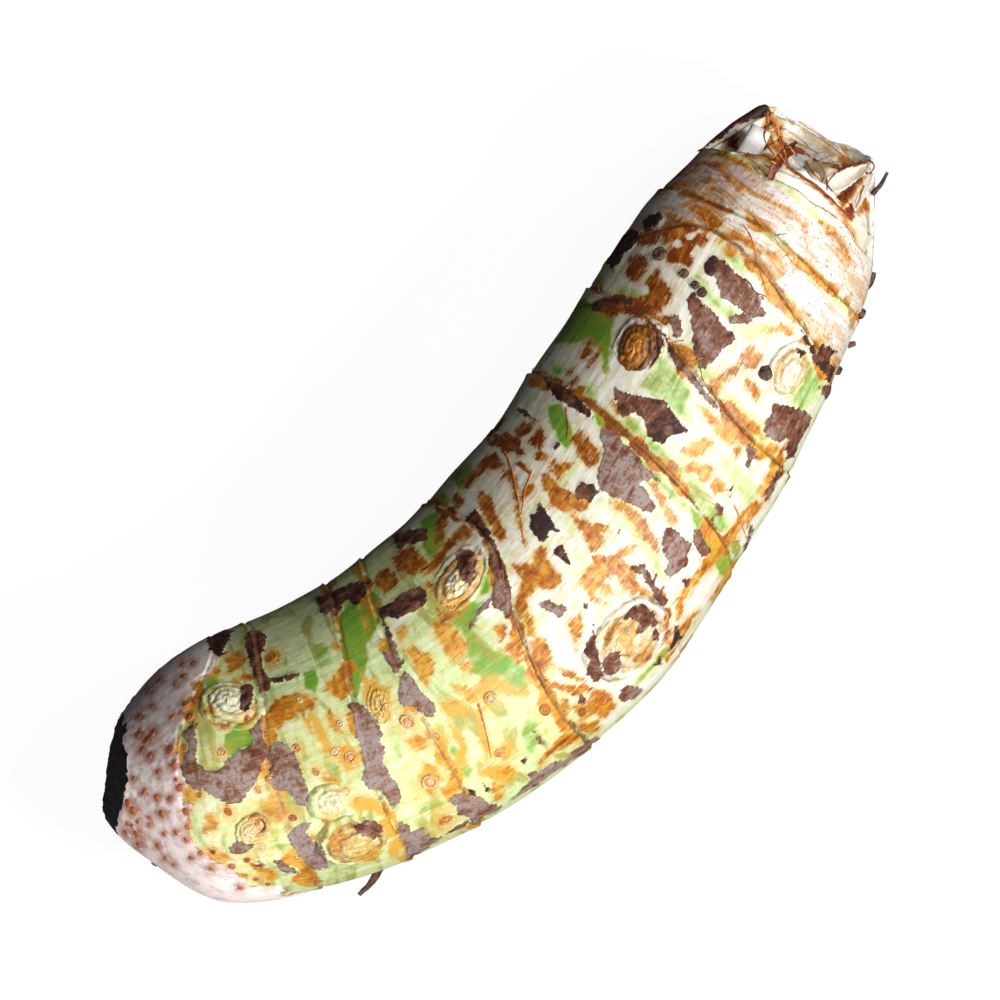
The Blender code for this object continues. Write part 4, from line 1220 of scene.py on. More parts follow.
# Side buds: u, angle, half length, half width, height, turn of the long axis from the spine, how
# brown the husk is, how much of the bud it fills and how dark the painted shade under its scales is.
buds = (
    (207.0, 64.0, 10.0, 7.5, 1.0, 20.0, 0.75, 1.0, 0.9),
    (223.4, 130.0, 8.5, 7.0, 1.1, 10.0, 0.08, 0.8, 0.5),
    (121.2, 63.0, 12.0, 7.0, 1.1, 12.0, 0.2, 0.9, 0.6),
    (142.1, 131.0, 12.5, 11.0, 1.2, 0.0, 0.25, 0.5, 0.8),
    (39.2, 62.0, 9.6, 6.6, 0.9, -38.0, 0.02, 0.6, 0.85),
    (60.8, 136.0, 11.5, 9.8, 0.95, 0.0, 0.32, 0.7, 0.9),
    (57.8, 114.0, 5.8, 5.2, 0.5, 0.0, -0.1, 0.5, 0.1),
    (36.8, 117.0, 4.8, 4.5, 0.5, 0.0, 0.05, 0.6, 0.5),
    (80.5, 85.0, 6.0, 3.6, 0.5, 70.0, 0.2, 0.5, 0.4),
    (178.0, 322.0, 9.0, 7.5, 1.0, 0.0, 0.4, 0.8, 0.7),
    (103.0, 228.0, 10.0, 8.0, 1.1, 10.0, 0.25, 0.8, 0.7),
    (66.0, 318.0, 8.0, 7.0, 1.0, 0.0, 0.3, 0.8, 0.7),
)
budForm = {
    "outline": ((1.2, -3.5), (1.08, -0.9), (1.0, 0.3), (0.93, 0.85), (0.87, 0.8), (0.8, 0.3), (0.77, 0.1),
                (0.73, 0.6), (0.66, 1.5), (0.6, 1.6), (0.53, 1.35), (0.5, 1.2), (0.46, 1.7), (0.38, 2.35),
                (0.3, 2.4), (0.25, 2.1), (0.2, 2.5), (0.1, 2.8), (0.03, 2.75)),
    "sides": 72,
    "rings": 46,
    "unevenness": 0.12,
    "waves": 1.7,
    "sunk": 0.3,
    "lean": 0.2,
    "crispness": 0.6,
    "scaleEdges": (0.5, 0.78, 1.02),
}


def makeBuds(material):
    rings, straights, shares, others = [], [], [], []
    outline = np.array(budForm["outline"])
    steps = np.linspace(0, 1, budForm["rings"])
    knots = np.linspace(0, 1, len(outline))
    share, rise = np.interp(steps, knots, outline[:, 0]), np.interp(steps, knots, outline[:, 1])
    smooth = np.interp(share, (0.0, 0.6, 0.95), (2.4, 1.3, 0.4))
    rise = np.where(share < 0.95, rise * budForm["crispness"] + smooth * (1 - budForm["crispness"]), rise)
    a = circle(budForm["sides"])
    for number, (u, angle, halfLength, halfWidth, height, turned, tone, fill, line) in enumerate(buds):
        point, out, along, roundIt, radius = skinFrame(u, angle)
        turned = math.radians(turned)
        longWay = (along * math.cos(turned) + roundIt * math.sin(turned)) * halfLength
        shortWay = (roundIt * math.cos(turned) - along * math.sin(turned)) * halfWidth
        where = np.stack(np.broadcast_arrays(np.cos(a), np.sin(a), number + share[:, None]), -1)
        wide = share[:, None] * (1 + budForm["unevenness"] * noiseAt(where * budForm["waves"], 1.0))
        wide = wide * (1 + 0.05 * noiseAt(where * 5.0, 1.0))
        lean = number * 2.1
        aside = budForm["lean"] * (1 - share[:, None, None])
        offset = wide[..., None] * (longWay * np.cos(a)[:, None] + shortWay * np.sin(a)[:, None])
        offset = offset + aside * (longWay * math.cos(lean) + shortWay * math.sin(lean))
        drop = (offset @ roundIt) ** 2 / (2 * radius)
        lift = rise[:, None] * height - drop - budForm["sunk"] + 0.45 * noiseAt(where * 2 + offset * 0.5, 1.0)
        rings.append(point + offset + out * lift[..., None])
        around = math.radians(angle) + (offset @ roundIt) / radius
        straights.append(unbent(u + offset @ along, around, radius + lift))
        shares.append(np.broadcast_to(share[:, None], wide.shape))
        others.append([np.full(wide.shape, v) for v in (math.radians(angle), tone, fill, line)])
    points, faces = skinOver(rings)
    straight, share = closeAll(straights), closeAll(shares)
    around, tone, fill, line = (closeAll(other[k] for other in others) for k in range(4))
    marks = skinMarks(points, straight, straight[:, 0], around)
    drifting = share + 0.16 * noiseAt(straight, 3.5, 5.0)
    # Where the scales' creases lie, for the painted shade under each scale
    edges = np.min([np.abs(drifting - s) for s in budForm["scaleEdges"]], axis=0)
    marks.update(scarGap=np.full(len(points), 20.0), budShare=share, budFill=fill,
                 budTone=tone + 0.25 * smoothStep(share, 0.3, 0.75),
                 budLine=line * smoothStep(edges, 0.07, 0.01))
    return newPiece("sideBuds", insideBox(points), faces, material, unbent=straight * mm, **marks)


# Crown: sheaths inside the outer one, as name, u of the rim at the sides, top and underneath, share
# of the crown's radius, wall in mm, shift to the hollow side and upwards, seed, depth and tone.
sheaths = (
    ("secondSheath", (268.0, 273.5, 282.5), 0.79, 2.0, (-0.03, 0.05), 2.0, 15.0, 0.12),
    ("thinSheath", (266.8, 270.9, 285.2), 0.865, 0.9, (-0.015, 0.035), 4.0, 12.0, 0.12),
    ("innerSheath", (269.0, 271.5, 280.6), 0.655, 0.9, (0.01, 0.0), 5.0, 12.0, 0.3),
)
sheathForm = {"sides": 220, "rows": 16, "lip": ((0.3, 0.15), (0.42, 0.5), (0.25, 0.85))}
heart = {
    "rim": (272.0, 272.6, 281.8),
    "share": 0.58,
    "shift": (0.05, -0.03),
    "seed": 3.0,
    "depth": 14.0,
    "sides": 200,
    "folds": 3.2,
}
crownTones = {
    0.0: (0.98, 0.97, 0.94),
    0.2: (0.95, 0.88, 0.76),
    0.4: (0.88, 0.72, 0.50),
    0.58: (0.78, 0.46, 0.14),
    0.8: (0.50, 0.20, 0.07),
    # Nearly black: dark tissue, and the painted shade of the crown's hollows
    1.0: (0.14, 0.08, 0.06),
}
crownStops = [(spot, colour(*rgb)) for spot, rgb in crownTones.items()]


def makeCrownMaterial():
    # Cut leaf-sheath bases: pale tissue with brown veins along them.
    material, tree, shader = newMaterial("cut leaf sheath")
    place = read(tree, "unbent", "Vector")
    veins = threadsOf(place, 9.0, 0.45, 2.0)
    broad = threadsOf(place, 16.0, 1.8, 7.0)
    speckle = cloud(place, 900.0)
    tone = swing(veins, 0.4, swing(broad, 0.35, swing(speckle, 0.25, read(tree, "tone"))))
    height = calc("MULTIPLY_ADD", veins, 0.7, times(speckle, 0.4))
    coat(shader, ramp(tone, crownStops), 0.45, height, 0.6, 0.35)
    return material


def crownMarks(points, tone):
    # Tones laid on the crown by their place in the photograph.
    tone = tone.copy()
    for strength, near, share in softShares(*inPicture(points), crownPatches):
        tone[near] = tone[near] * (1 - share) + strength * share
    return tone


def crownRadius(angle, share, shift):
    whole = girthAt(rimAt(crown["rim"], angle, 1.0))
    return whole * (share + shift[0] * np.cos(angle) + shift[1] * np.sin(angle))


def crownPiece(name, angle, rows, material):
    # A closed skin over rows of u, reach from the spine and tone.
    u, reach, tone = (np.array([np.broadcast_to(row[k], angle.shape) for row in rows]) for k in range(3))
    points, faces = skinOver([onCorm(u, angle, reach)])
    straight = closeEnds(unbent(u, angle, reach)) * mm
    return newPiece(name, insideBox(points), faces, material, unbent=straight,
                    tone=crownMarks(points, closeEnds(tone)))


def makeSheaths(material):
    made = []
    a = circle(sheathForm["sides"])
    down = np.linspace(0, 1, sheathForm["rows"])
    for name, rim, share, wall, shift, seed, depth, tone in sheaths:
        rimU = rimAt(rim, a, seed)
        rimU = rimU + 0.5 * noiseAt(np.stack([np.cos(a) * 9, np.sin(a) * 9, np.full(a.shape, seed)], -1), 1.0)
        outer = crownRadius(a, share, shift)
        rows = []
        # Tone darkens down into the crown on both faces of each sheath: painted shade
        for fall in 1 - down:
            uneven = noiseAt(unbent(rimU * 0.1 - fall * 2, a, 9.0), 1.2, seed)
            rows.append((rimU - depth * fall, outer + 0.25 * uneven, tone + 0.15 * fall))
        for lift, inwards in sheathForm["lip"]:
            rows.append((rimU + lift, outer - wall * inwards, tone - 0.12))
        for fall in down:
            uneven = noiseAt(unbent(rimU * 0.1 - fall * 2, a, 9.0), 1.2, seed + 4)
            rows.append((rimU - depth * fall, outer - wall + 0.2 * uneven, tone - 0.02 + 0.3 * fall))
        made.append(crownPiece(name, a, rows, material))
    return made


def makeHeart(material):
    # The innermost leaf base, cut across: a pale face with the edges of the folded leaf in it,
    # darker down its wall and in the folds' grooves as painted shade.
    a = circle(heart["sides"])
    rimU = rimAt(heart["rim"], a, heart["seed"])
    outer = crownRadius(a, heart["share"], heart["shift"])
    middle = rimU.mean()
    # Darker down the wall: painted shade
    rows = [(rimU - heart["depth"] * fall, outer, 0.25 + 0.4 * fall) for fall in np.linspace(1, 0.03, 14)]
    for share in np.linspace(0.985, 0.03, 44):
        spiral = (share * heart["folds"] + a / (2 * math.pi)) % 1.0
        groove = np.exp(-(((spiral - 0.5) / 0.06) ** 2))
        groove = groove * smoothStep(share, 0.12, 0.3) * smoothStep(1.0 - share, 0.03, 0.1)
        dish = -1.2 * (1 - share**2)
        u = middle + (rimU - middle) * share + dish - 0.9 * groove
        # Darker in the fold's groove: painted shade
        rows.append((u, outer * share, 0.08 + 0.45 * groove))
    return crownPiece("heartLeaf", a, rows, material)


# Torn bits that stand in the crown: path as x, y in pixels and height in mm, half widths to the
# left and right in mm, thickness, curl, raggedness and tone.
crownBits = {
    "creamFold": (((829, 186, 45), (840, 181, 42.5), (852, 174, 39), (866, 167, 33)),
                  (2.4, 2.6, 2.0, 0.6), (2.2, 3.0, 2.2, 0.6), (0.7, 0.8, 0.7), 1.2, 0.3, 0.12),
    "whiteWedge": (((871, 174, 37), (866, 186, 41), (860, 199, 44), (855, 211, 46.5)),
                   (0.5, 1.0, 1.0, 0.4), (0.6, 1.2, 1.1, 0.4), (0.9, 0.9, 0.8), 0.3, 0.2, 0.05),
    "pinkFold": (((811, 163, 36), (818, 168, 38.5), (822, 174, 41), (822, 181, 43)),
                 (1.2, 1.7, 1.2, 0.3), (1.8, 1.6, 0.9, 0.3), (0.7, 0.8, 0.7), 0.5, 0.2, 0.35),
    "brownTooth": (((850, 204, 49), (851, 209, 49.8), (852, 214, 50), (853, 220, 50.5)),
                   (0.5, 0.6, 0.5, 0.3), (0.5, 0.6, 0.4, 0.3), (0.7, 0.7, 0.6), 0.1, 0.3, 0.8),
    "tornFlake": (((770, 180, 62.2), (774, 169, 62.6), (779, 160, 61.0), (788, 151, 56.5), (796, 142, 50.5)),
                  (0.9, 1.1, 1.3, 1.4, 0.4), (0.9, 1.2, 1.4, 1.0, 0.4), (0.8, 0.9, 0.8), 0.35, 0.5, 0.84),
    "flakeSpur": (((783, 158, 59.6), (788, 154, 57.4), (796, 150, 54.5), (804, 153, 51.5)),
                  (1.0, 0.9, 0.8, 0.5), (0.9, 0.9, 0.8, 0.5), (0.8, 0.8, 0.7), 0.2, 0.5, 0.82),
    "flakeTooth": (((783, 158, 60.2), (786, 162, 60.3), (789, 168, 60.0)),
                   (0.8, 0.7, 0.35), (0.8, 0.7, 0.35), (0.7, 0.7), 0.1, 0.4, 0.84),
}
# A curl left by the knife: path as above, radii in mm and tone.
knifeCurl = (((319, 693, 69.6), (327, 702, 70.2), (337, 714, 70.6), (346, 726, 70.2)),
             (0.5, 1.3, 1.4, 0.6), 0.1)


def fromPath(path):
    return [fromPicture(*spot) for spot in path]


def makeCrownBits(material):
    rings, straights, tones = [], [], []
    for number, (path, left, right, thickness, curl, rag, tone) in enumerate(crownBits.values()):
        bit = ribbon(fromPath(path), left, right, thickness, (0.1, 0.0, 1.0), curl, rag, number + 2.0)
        lengthwise, across = np.linspace(0, 8, len(bit))[:, None], np.linspace(0, 6, bit.shape[1])
        rings.append(bit)
        straights.append(np.stack(np.broadcast_arrays(lengthwise, across, number * 5), -1))
        tones.append(np.full(bit.shape[:2], tone))
    path, radii, tone = knifeCurl
    curl = tube(fromPath(path), radii, 12, 0.3, 4.0)
    rings.append(curl)
    straights.append(curl * 0.3)
    tones.append(np.full(curl.shape[:2], tone))
    points, faces = skinOver(rings)
    return newPiece("tornLeafBits", insideBox(points), faces, material,
                    unbent=closeAll(straights) * mm, tone=closeAll(tones))


pith = {
    "from": 262.0,
    "to": 280.0,
    "toHollow": 15.0,
    "up": 4.0,
    "half": (3.7, 4.6),
    "taper": 0.82,
    "sides": 48,
    "end": ((0.985, 0.97), (0.995, 0.92), (1.0, 0.8), (0.998, 0.6), (0.99, 0.35), (0.985, 0.1)),
}


def makePith(material):
    a = circle(pith["sides"])
    square = (np.abs(np.cos(a)) ** 5 + np.abs(np.sin(a)) ** 5) ** -0.2
    rings, straights, tones = [], [], []
    for spot, inset in [*((s, 1.0) for s in np.linspace(0, 0.97, 30)), *pith["end"]]:
        u = pith["from"] + (pith["to"] - pith["from"]) * spot
        middle, _, left, height = spineAt(np.array(u))
        size = (1 + (pith["taper"] - 1) * spot) * inset
        across = pith["toHollow"] + pith["half"][0] * size * square * np.cos(a)
        rise = float(height) + pith["up"] + pith["half"][1] * size * square * np.sin(a)
        rough = 0.12 * noiseAt(np.stack([np.cos(a) * 3, np.sin(a) * 3, np.full(a.shape, u * 0.4)], -1), 1.0)
        plan = middle + left * (across + rough)[:, None] + np.array(form["shift"])
        rings.append(np.concatenate([plan, (rise + rough)[:, None]], -1))
        straights.append(np.stack([np.full(a.shape, u), across, rise], -1))
        # Darker towards its base deep in the crown: painted shade
        tones.append(np.full(a.shape, 0.45 * smoothStep(0.55 - spot, 0, 0.3) - 0.12))
    points, faces = skinOver([rings])
    return newPiece("pithStub", insideBox(points), faces, material,
                    unbent=closeEnds(straights) * mm, tone=closeEnds(tones))


# Root scars that stand out as small knobs: u, angle, radius.
knobs = (
    (234.4, 47.0, 2.1), (232.8, 64.0, 1.4), (231.5, 71.5, 1.2), (230.6, 76.0, 1.4), (219.5, 119.0, 2.3),
    (247.0, 178.0, 1.6), (230.5, 180.0, 1.4), (214.0, 250.0, 2.0), (160.0, 215.0, 1.8), (128.0, 335.0, 1.8),
)
# The knobs' rows of points, in degrees from the tip.
knobRows = (150, 125, 105, 90, 75, 60, 47, 36, 26, 17, 9, 3)
# Short roots and torn fibres: places as u, angle and height over the skin, and the radii.
strands = (
    (((63.5, 178.0, -2.5), (59.5, 181.0, 1.4), (55.5, 183.0, 4.0)), 1.3, 0.6),
    (((278.0, 198.0, -1.5), (281.5, 196.0, 0.6), (285.5, 194.0, 2.2)), 0.8, 0.4),
    (((254.0, 176.0, -1.2), (256.5, 176.0, 0.3), (258.5, 175.5, 0.7)), 1.2, 0.6),
    (((238.0, 184.0, -1.0), (239.5, 184.0, 0.9)), 1.1, 0.6),
    (((84.0, 206.0, -1.2), (82.0, 207.0, 1.6)), 1.4, 0.7),
)


def makeKnobs(material):
    # Shrivelled knobs with a pit on top, and short dark root stubs.
    rings = []
    a = circle(28)
    for number, (u, angle, radius) in enumerate(knobs):
        point, out, along, roundIt, _ = skinFrame(u, angle)
        knob = []
        for tip in np.radians(knobRows):
            flatWay = along * np.cos(a)[:, None] + roundIt * np.sin(a)[:, None]
            rough = 1 + 0.28 * noiseAt(flatWay * 1.6 * math.sin(tip) + number * 3 + tip, 1.0)
            rise = radius * (math.cos(tip) - 0.5 - 0.35 * math.exp(-((tip / 0.45) ** 2)))
            aside = flatWay * (radius * math.sin(tip) * rough)[:, None]
            knob.append(point + aside + out * (rise * 0.95 * rough)[:, None])
        rings.append(np.array(knob))
    for number, (places, base, tip) in enumerate(strands):
        path = []
        for u, angle, height in places:
            point, out, *_ = skinFrame(u, angle)
            path.append(point + out * height)
        rings.append(tube(path, (base, (base + tip) / 2, tip), 14, 0.35, number * 2.0))
    points, faces = skinOver(rings)
    return newPiece("rootKnobs", insideBox(points), faces, material)


def makeRootMaterial():
    # Dried root ends: nearly black, brown where they are rubbed.
    material, tree, shader = newMaterial("dried root ends")
    broad, fine = objectCloud(tree, 500.0), objectCloud(tree, 1800.0)
    base = blend(spread(broad, 0.4, 0.65), colour(0.16, 0.11, 0.10), colour(0.40, 0.26, 0.17))
    base = blend(spread(fine, 0.5, 0.7, 0.0, 0.7), base, colour(0.64, 0.44, 0.27))
    coat(shader, base, spread(fine, 0.3, 0.7, 0.55, 0.85), calc("ADD", broad, times(fine, 0.5)), 0.7, 0.3)
    return material


# Geometry Nodes

def growOn(name, tree, seeds, edges, settings, material):
    # Runs a growth tree on seeds, each a place in mm, a size, a tone and for scars the way they
    # face, and keeps its result as a plain mesh.
    points, *marks = zip(*seeds)
    seedMesh = bpy.data.meshes.new(name + "Seeds")
    seedMesh.from_pydata((np.asarray(points) * mm).tolist(), edges, [])
    holder = linked(name + "Seeds", seedMesh)
    for label, values in zip(("size", "tone", "facing"), marks):
        setAttribute(holder, label, values)
    modifier = holder.modifiers.new(name, "NODES")
    modifier.node_group = tree
    values = dict(settings, Material=material)
    for socket in tree.interface.items_tree:
        if socket.in_out == "INPUT" and socket.name in values:
            modifier[socket.identifier] = values[socket.name]
    evaluated = holder.evaluated_get(bpy.context.evaluated_depsgraph_get())
    mesh = bpy.data.meshes.new_from_object(evaluated)
    holder.modifiers.remove(modifier)
    bpy.data.objects.remove(holder)
    mesh.shade_smooth()
    kept = np.empty(len(mesh.vertices) * 3)
    mesh.vertices.foreach_get("co", kept)
    mesh.vertices.foreach_set("co", (insideBox(kept.reshape(-1, 3) / mm) * mm).ravel())
    print(name + ":", len(mesh.polygons), "faces")
    return linked(name, mesh)


def finishGrowth(geometry, given, out):
    whole = after("GeometryNodeRealizeInstances", {"Geometry": geometry})
    dressed = after("GeometryNodeSetMaterial", {"Geometry": whole, "Material": given["Material"]})
    feed(out["Geometry"], dressed)


def stored(tree, name, kind="FLOAT"):
    return put(tree, "GeometryNodeInputNamedAttribute", {"Name": name}, data_type=kind).outputs["Attribute"]


def makeScarTree():
    # Root scars on points: a raised ring round a low dome, turned to the skin and of uneven size.
    tree, given, out = newTree("root scars", "GeometryNodeTree", {
        "Geometry": "Geometry",
        "Ring Size": 0.72,
        "Ring Thickness": 0.3,
        "Dome Size": 0.5,
        "Dome Rise": 0.35,
        "Sides": 14,
        "Unevenness": 0.2,
        "Seed": 0,
        "Material": "Material",
    }, {"Geometry": "Geometry"})
    sides = given["Sides"]
    ring = after("GeometryNodeCurvePrimitiveCircle", {"Resolution": sides, "Radius": given["Ring Size"]})
    profile = after("GeometryNodeCurvePrimitiveCircle", {"Resolution": 6, "Radius": given["Ring Thickness"]})
    torus = after("GeometryNodeCurveToMesh", {"Curve": ring, "Profile Curve": profile})
    dome = after("GeometryNodeMeshUVSphere", {"Segments": sides, "Rings": 6, "Radius": given["Dome Size"]})
    squash = after("ShaderNodeCombineXYZ", {0: 1.0, 1: 1.0, 2: given["Dome Rise"]})
    flatter = after("GeometryNodeTransform", {"Geometry": dome, "Scale": squash})
    both = put(tree, "GeometryNodeJoinGeometry")
    feed(both.inputs[0], torus)
    feed(both.inputs[0], flatter)
    points = after("GeometryNodeMeshToPoints", {"Mesh": given["Geometry"]})
    facing = stored(tree, "facing", "FLOAT_VECTOR")
    turned = after("FunctionNodeAlignRotationToVector", {"Vector": facing}, axis="Z")
    least, most = (calc(way, 1.0, given["Unevenness"]) for way in ("SUBTRACT", "ADD"))
    limits = {"Min": least, "Max": most, "Seed": given["Seed"]}
    uneven = after("FunctionNodeRandomValue", limits, "Value", data_type="FLOAT_VECTOR")
    sizes = after("ShaderNodeVectorMath", {0: uneven, "Scale": stored(tree, "size")}, operation="SCALE")
    layout = {"Points": points, "Instance": both.outputs[0], "Rotation": turned, "Scale": sizes}
    finishGrowth(after("GeometryNodeInstanceOnPoints", layout), given, out)
    return tree


def makeFibreTree():
    # Fibres along seed lines: a little wavy, thinner to their ends.
    tree, given, out = newTree("fibres", "GeometryNodeTree", {
        "Geometry": "Geometry",
        "Thickness": 0.0003,
        "Tip": 0.4,
        "Waviness": 0.0004,
        "Wave Length": 0.004,
        "Sides": 5,
        "Material": "Material",
    }, {"Geometry": "Geometry"})
    curve = after("GeometryNodeMeshToCurve", {"Mesh": given["Geometry"]})
    place = put(tree, "GeometryNodeInputPosition").outputs[0]
    waves = calc("DIVIDE", 1.0, given["Wave Length"])
    wave = after("ShaderNodeTexNoise", {"Vector": place, "Scale": waves}, "Color")
    centred = after("ShaderNodeVectorMath", {0: wave, 1: (0.5, 0.5, 0.5)}, operation="SUBTRACT")
    sway = after("ShaderNodeVectorMath", {0: centred, "Scale": given["Waviness"]}, operation="SCALE")
    moved = after("GeometryNodeSetPosition", {"Geometry": curve, "Offset": sway})
    spot = put(tree, "GeometryNodeSplineParameter").outputs["Factor"]
    fade = after("ShaderNodeMapRange", {"Value": spot, "To Min": 1.0, "To Max": given["Tip"]})
    radius = times(fade, stored(tree, "size"), given["Thickness"])
    profile = after("GeometryNodeCurvePrimitiveCircle", {"Resolution": given["Sides"], "Radius": 1.0})
    strand = {"Curve": moved, "Profile Curve": profile, "Scale": radius, "Fill Caps": True}
    finishGrowth(after("GeometryNodeCurveToMesh", strand), given, out)
    return tree


def makeScarMaterial(name, ringColour, domeColour):
    material, tree, shader = newMaterial(name)
    broad, fine = objectCloud(tree, 600.0), objectCloud(tree, 2200.0)
    tone = swing(fine, 1.2, swing(broad, 1.0, read(tree, "tone")))
    base = ramp(tone, ((0.1, colour(*domeColour)), (0.5, colour(*ringColour)), (1.0, tint["brownRust"])))
    coat(shader, base, spread(fine, 0.3, 0.7, 0.45, 0.75), fine, 0.6, 0.2)
    return material


def makeLanding(pieces):
    vertices, polygons = [], []
    for piece in pieces:
        start = len(vertices)
        vertices += [v.co / mm for v in piece.data.vertices]
        polygons += [[start + k for k in p.vertices] for p in piece.data.polygons]
    return BVHTree.FromPolygons(vertices, polygons)


def landAt(surface, x, y):
    # Where the photograph's pixel falls on the pieces, and which way the surface faces there.
    eye = Vector((*overhead["middle"][:2], overhead["middle"][2] + overhead["height"]))
    way = (Vector(fromPicture(x, y, 0.0)) - eye).normalized()
    return surface.ray_cast(eye, way)[:2]


def landRound(surface, u, angle):
    # The same for the skin at u and an angle round the corm.
    place, out, *_ = skinFrame(u, angle)
    return surface.ray_cast(Vector(place + out * 6), Vector(-out))[:2]


# Root scars: their marks in the photograph, how many more are hidden, between which u, and what
# their growth is given.
scars = {
    "rootRings": {
        "marks": ringScars,
        "hidden": 60,
        "reach": (45, 240),
        "growth": {"Ring Size": 0.78, "Ring Thickness": 0.2, "Dome Size": 0.5, "Dome Rise": 0.4,
                   "Unevenness": 0.18, "Seed": 4},
    },
    "barkDots": {
        "marks": barkDots,
        "hidden": 110,
        "reach": (6, 36),
        "growth": {"Ring Size": 0.7, "Ring Thickness": 0.34, "Dome Size": 0.8, "Dome Rise": 0.5,
                   "Unevenness": 0.25, "Seed": 9},
    },
}
scarScale = 0.85


def makeRootScars(surface, *materials):
    tree = makeScarTree()
    random = np.random.default_rng(12)
    made = []
    for (name, kind), material in zip(scars.items(), materials):
        seeds = []
        for x, y, radius, *tone in kind["marks"]:
            place, normal = landAt(surface, x, y)
            if place is not None:
                seeds.append((place, radius * pixel * scarScale * mm, tone[0] if tone else 0.6, normal))
        low, high = kind["reach"]
        for _ in range(kind["hidden"]):
            angle = random.uniform(185, 355)
            place, normal = landRound(surface, low + (high - low) * random.random() ** 1.3, angle)
            if place is not None:
                seeds.append((place, random.uniform(0.6, 1.3) * mm, random.uniform(0.3, 0.8), normal))
        made.append(growOn(name, tree, seeds, [], kind["growth"], material))
    return made


# Brown lines and fibres laid by the photograph: thickness in half mm, height over the surface,
# tone, then the path.
fibres = (
    (0.55, 0.0, 0.65, 743,225, 9,15, 14,37, 19,53, 25,71),
    (0.6, 0.0, 0.85, 744,279, 6,5, 11,13, 22,18),
    (0.9, 0.1, 0.6, 768,108, 4,14, 9,26, 14,38, 18,50),
    (0.8, 0.1, 0.5, 768,109, 8,15, 12,27, 22,39, 29,47),
    (0.7, 0.1, 0.7, 767,110, -1,16, -3,28, 3,40, 12,50),
    (0.7, 0.1, 0.4, 769,110, 11,12, 23,24, 37,34, 49,44),
    (0.7, 0.1, 0.6, 766,112, 3,16, 7,30, 14,42, 19,50),
    (0.6, 0.1, 0.75, 770,112, 8,16, 13,32, 22,38),
    (0.8, 0.1, 0.7, 803,153, 17,9, 32,12, 52,13, 67,7),
    (0.9, 0.1, 0.75, 788,167, 15,10, 32,22, 50,39, 64,54),
    (0.7, 0.05, 0.75, 842,170, -8,4, -14,12, -15,20),
    (0.7, 0.05, 0.8, 862,178, -10,8, -18,14, -24,20),
    (0.7, 0.05, 0.6, 806,161, 6,11, 16,21),
    (0.7, 0.1, 0.6, 864,186, -4,10, -8,22),
    (0.7, 0.1, 0.75, 870,160, 4,6, 0,14, -4,12),
    (0.6, 0.1, 0.5, 740,152, 12,3, 24,6, 36,12),
    (0.5, 0.05, 0.45, 786,118, 20,12, 42,26, 60,40),
    (0.5, 0.05, 0.35, 792,118, 20,12, 44,28, 60,38),
    (0.5, 0.05, 0.5, 748,210, 24,26, 47,55, 60,64),
    (0.7, 0.0, 0.6, 505,452, 7,18, 13,48, 17,78, 19,92),
    (0.7, 0.0, 0.62, 532,470, -7,22, -11,45),
    (0.7, 0.0, 0.58, 478,703, 6,22, 10,39, 13,55),
    (0.6, 0.0, 0.55, 734,505, 8,21, 15,42),
    (0.6, 0.0, 0.7, 566,408, 2,16, 1,32),
)
hairs = {
    "fibre": {"Thickness": 0.0005, "Tip": 0.45, "Waviness": 0.0007, "Wave Length": 0.004, "Sides": 6},
    "hair": {"Thickness": 0.00024, "Tip": 0.3, "Waviness": 0.0014, "Wave Length": 0.003, "Sides": 5},
    "longestStep": 2.2,
    "scars": (4, 6, 7, 8, 9),
    "perScar": 16,
    "length": (0.8, 3.2),
}


def makeFibres(surface, tree, material):
    seeds, edges = [], []
    for thickness, height, tone, *numbers in fibres:
        start = len(seeds)
        for x, y in smoothCurve(corners(numbers), 26):
            place, normal = landAt(surface, x, y)
            if place is not None:
                seeds.append((place + normal * height, thickness, tone))
        edges += [(k, k + 1) for k in range(start, len(seeds) - 1)
                  if (seeds[k][0] - seeds[k + 1][0]).length < hairs["longestStep"]]
    return growOn("crownFibres", tree, seeds, edges, hairs["fibre"], material)


def makeFringe(surface, tree, material):
    # Dry hairs of the torn leaf bases along the leaf scars.
    random = np.random.default_rng(31)
    seeds, edges = [], []
    for number in hairs["scars"]:
        for spot in random.uniform(0, 2 * math.pi, hairs["perScar"]):
            u = float(roundCorm(leafScars[number][0], np.array(spot)))
            length = random.uniform(*hairs["length"])
            lean = random.uniform(-4.0, 4.0)
            start = len(seeds)
            for s in np.linspace(0, 1, 7):
                place, normal = landRound(surface, u + length * s, math.degrees(spot) + lean * length * s)
                if place is None:
                    break
                away = 0.05 + 0.08 * s * s * length
                seeds.append((place + normal * away, 1.0, random.uniform(0.4, 0.8)))
            edges += [(k, k + 1) for k in range(start, len(seeds) - 1)]
    return growOn("scarFringe", tree, seeds, edges, hairs["hair"], material)


def makeFibreMaterial():
    material, tree, shader = newMaterial("dry leaf fibre")
    fine = objectCloud(tree, 1500.0)
    base = ramp(swing(fine, 0.6, read(tree, "tone")), crownStops)
    coat(shader, base, spread(fine, 0.3, 0.7, 0.5, 0.8), fine, 0.5, 0.15)
    return material


# The stage: floor size, its glow for the camera, the room's fill light, what the lamps aim at, and
# for each lamp its place, power and size.
studio = {"floor": 3.0, "glow": 0.95, "fill": 0.02, "aim": (0, 0.01, 0.04)}
lamps = {
    "key": ((0.26, -0.82, 0.94), 16.2, 0.2),
    "crown light": ((0.62, -0.22, 1.05), 9.0, 0.25),
    "overhead light": ((-0.05, 0.15, 2.2), 3.0, 0.3),
    "root end light": ((-0.98, -0.42, 0.45), 8.0, 0.3),
}


def seenByCamera(tree):
    return put(tree, "ShaderNodeLightPath").outputs["Is Camera Ray"]


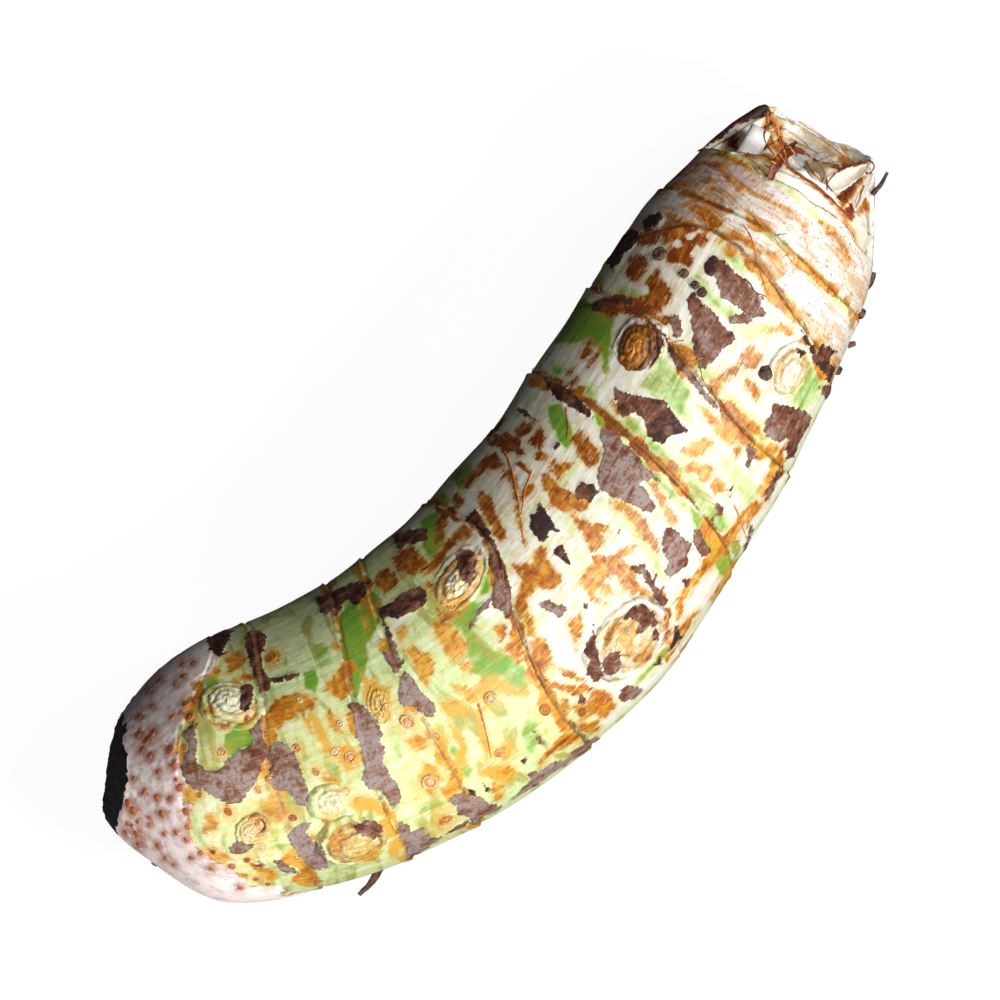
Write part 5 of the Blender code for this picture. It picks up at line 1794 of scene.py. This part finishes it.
def makeStage():
    # A plain pale floor, a soft key light from the photograph's lower right, and the camera.
    scene = bpy.context.scene
    scene.view_settings.view_transform = "Standard"
    material, tree, shader = newMaterial("pale floor")
    feed(shader.inputs["Base Color"], (0.04, 0.04, 0.04, 1))
    feed(shader.inputs["Roughness"], 0.9)
    glow = put(tree, "ShaderNodeEmission", {"Strength": studio["glow"]}).outputs[0]
    matt = put(tree, "ShaderNodeBsdfDiffuse", {"Color": (0.05, 0.05, 0.05, 1)}).outputs[0]
    bright = after("ShaderNodeAddShader", {0: glow, 1: matt})
    picked = after("ShaderNodeMixShader", {0: seenByCamera(tree), 1: shader.outputs[0], 2: bright})
    feed(tree.nodes["Material Output"].inputs["Surface"], picked)
    half = studio["floor"]
    square = [(-half, -half, 0), (half, -half, 0), (half, half, 0), (-half, half, 0)]
    mesh = bpy.data.meshes.new("floor")
    mesh.from_pydata(square, [], [(0, 1, 2, 3)])
    mesh.materials.append(material)
    linked("floor", mesh)

    world = bpy.data.worlds.new("studio")
    scene.world = world
    world.use_nodes = True
    behind = world.node_tree.nodes["Background"].inputs
    feed(behind["Color"], (1, 1, 1, 1))
    feed(behind["Strength"], spread(seenByCamera(world.node_tree), 0.0, 1.0, studio["fill"], 1.0))

    for name, (place, power, size) in lamps.items():
        data = bpy.data.lights.new(name, "AREA")
        data.energy = power
        data.size = size
        lamp = linked(name, data)
        lamp.location = place
        lamp.rotation_euler = (Vector(studio["aim"]) - Vector(place)).to_track_quat("-Z", "Y").to_euler()

    data = bpy.data.cameras.new("overhead")
    data.sensor_width = overhead["sensor"]
    data.lens = overhead["sensor"] * overhead["height"] / overhead["across"]
    data.clip_start, data.clip_end = 0.1, 20.0
    camera = linked("overhead", data)
    x, y, z = overhead["middle"]
    camera.location = (x * mm, y * mm, (z + overhead["height"]) * mm)
    camera.rotation_euler = (0, 0, -turn)
    scene.camera = camera


makeStage()
print("stage ready")
fleshMaterial = makeFleshMaterial()
leafMaterial = makeCrownMaterial()
rootMaterial = makeRootMaterial()
fibreMaterial = makeFibreMaterial()
ringMaterial = makeScarMaterial("root rings", (0.80, 0.50, 0.18), (0.93, 0.86, 0.66))
dotMaterial = makeScarMaterial("bark dots", (0.74, 0.42, 0.24), (0.84, 0.60, 0.44))
pieces = [makeFlesh(fleshMaterial), makeBuds(fleshMaterial), *makeSheaths(leafMaterial)]
pieces += [makeHeart(leafMaterial), makePith(leafMaterial), makeCrownBits(leafMaterial)]
print("crown ready")
surface = makeLanding(pieces)
fibreTree = makeFibreTree()
pieces.append(makeKnobs(rootMaterial))
pieces += makeRootScars(surface, ringMaterial, dotMaterial)
pieces.append(makeFibres(surface, fibreTree, fibreMaterial))
pieces.append(makeFringe(surface, fibreTree, fibreMaterial))
for piece in pieces:
    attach(piece, "root")
    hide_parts("taro_corm")
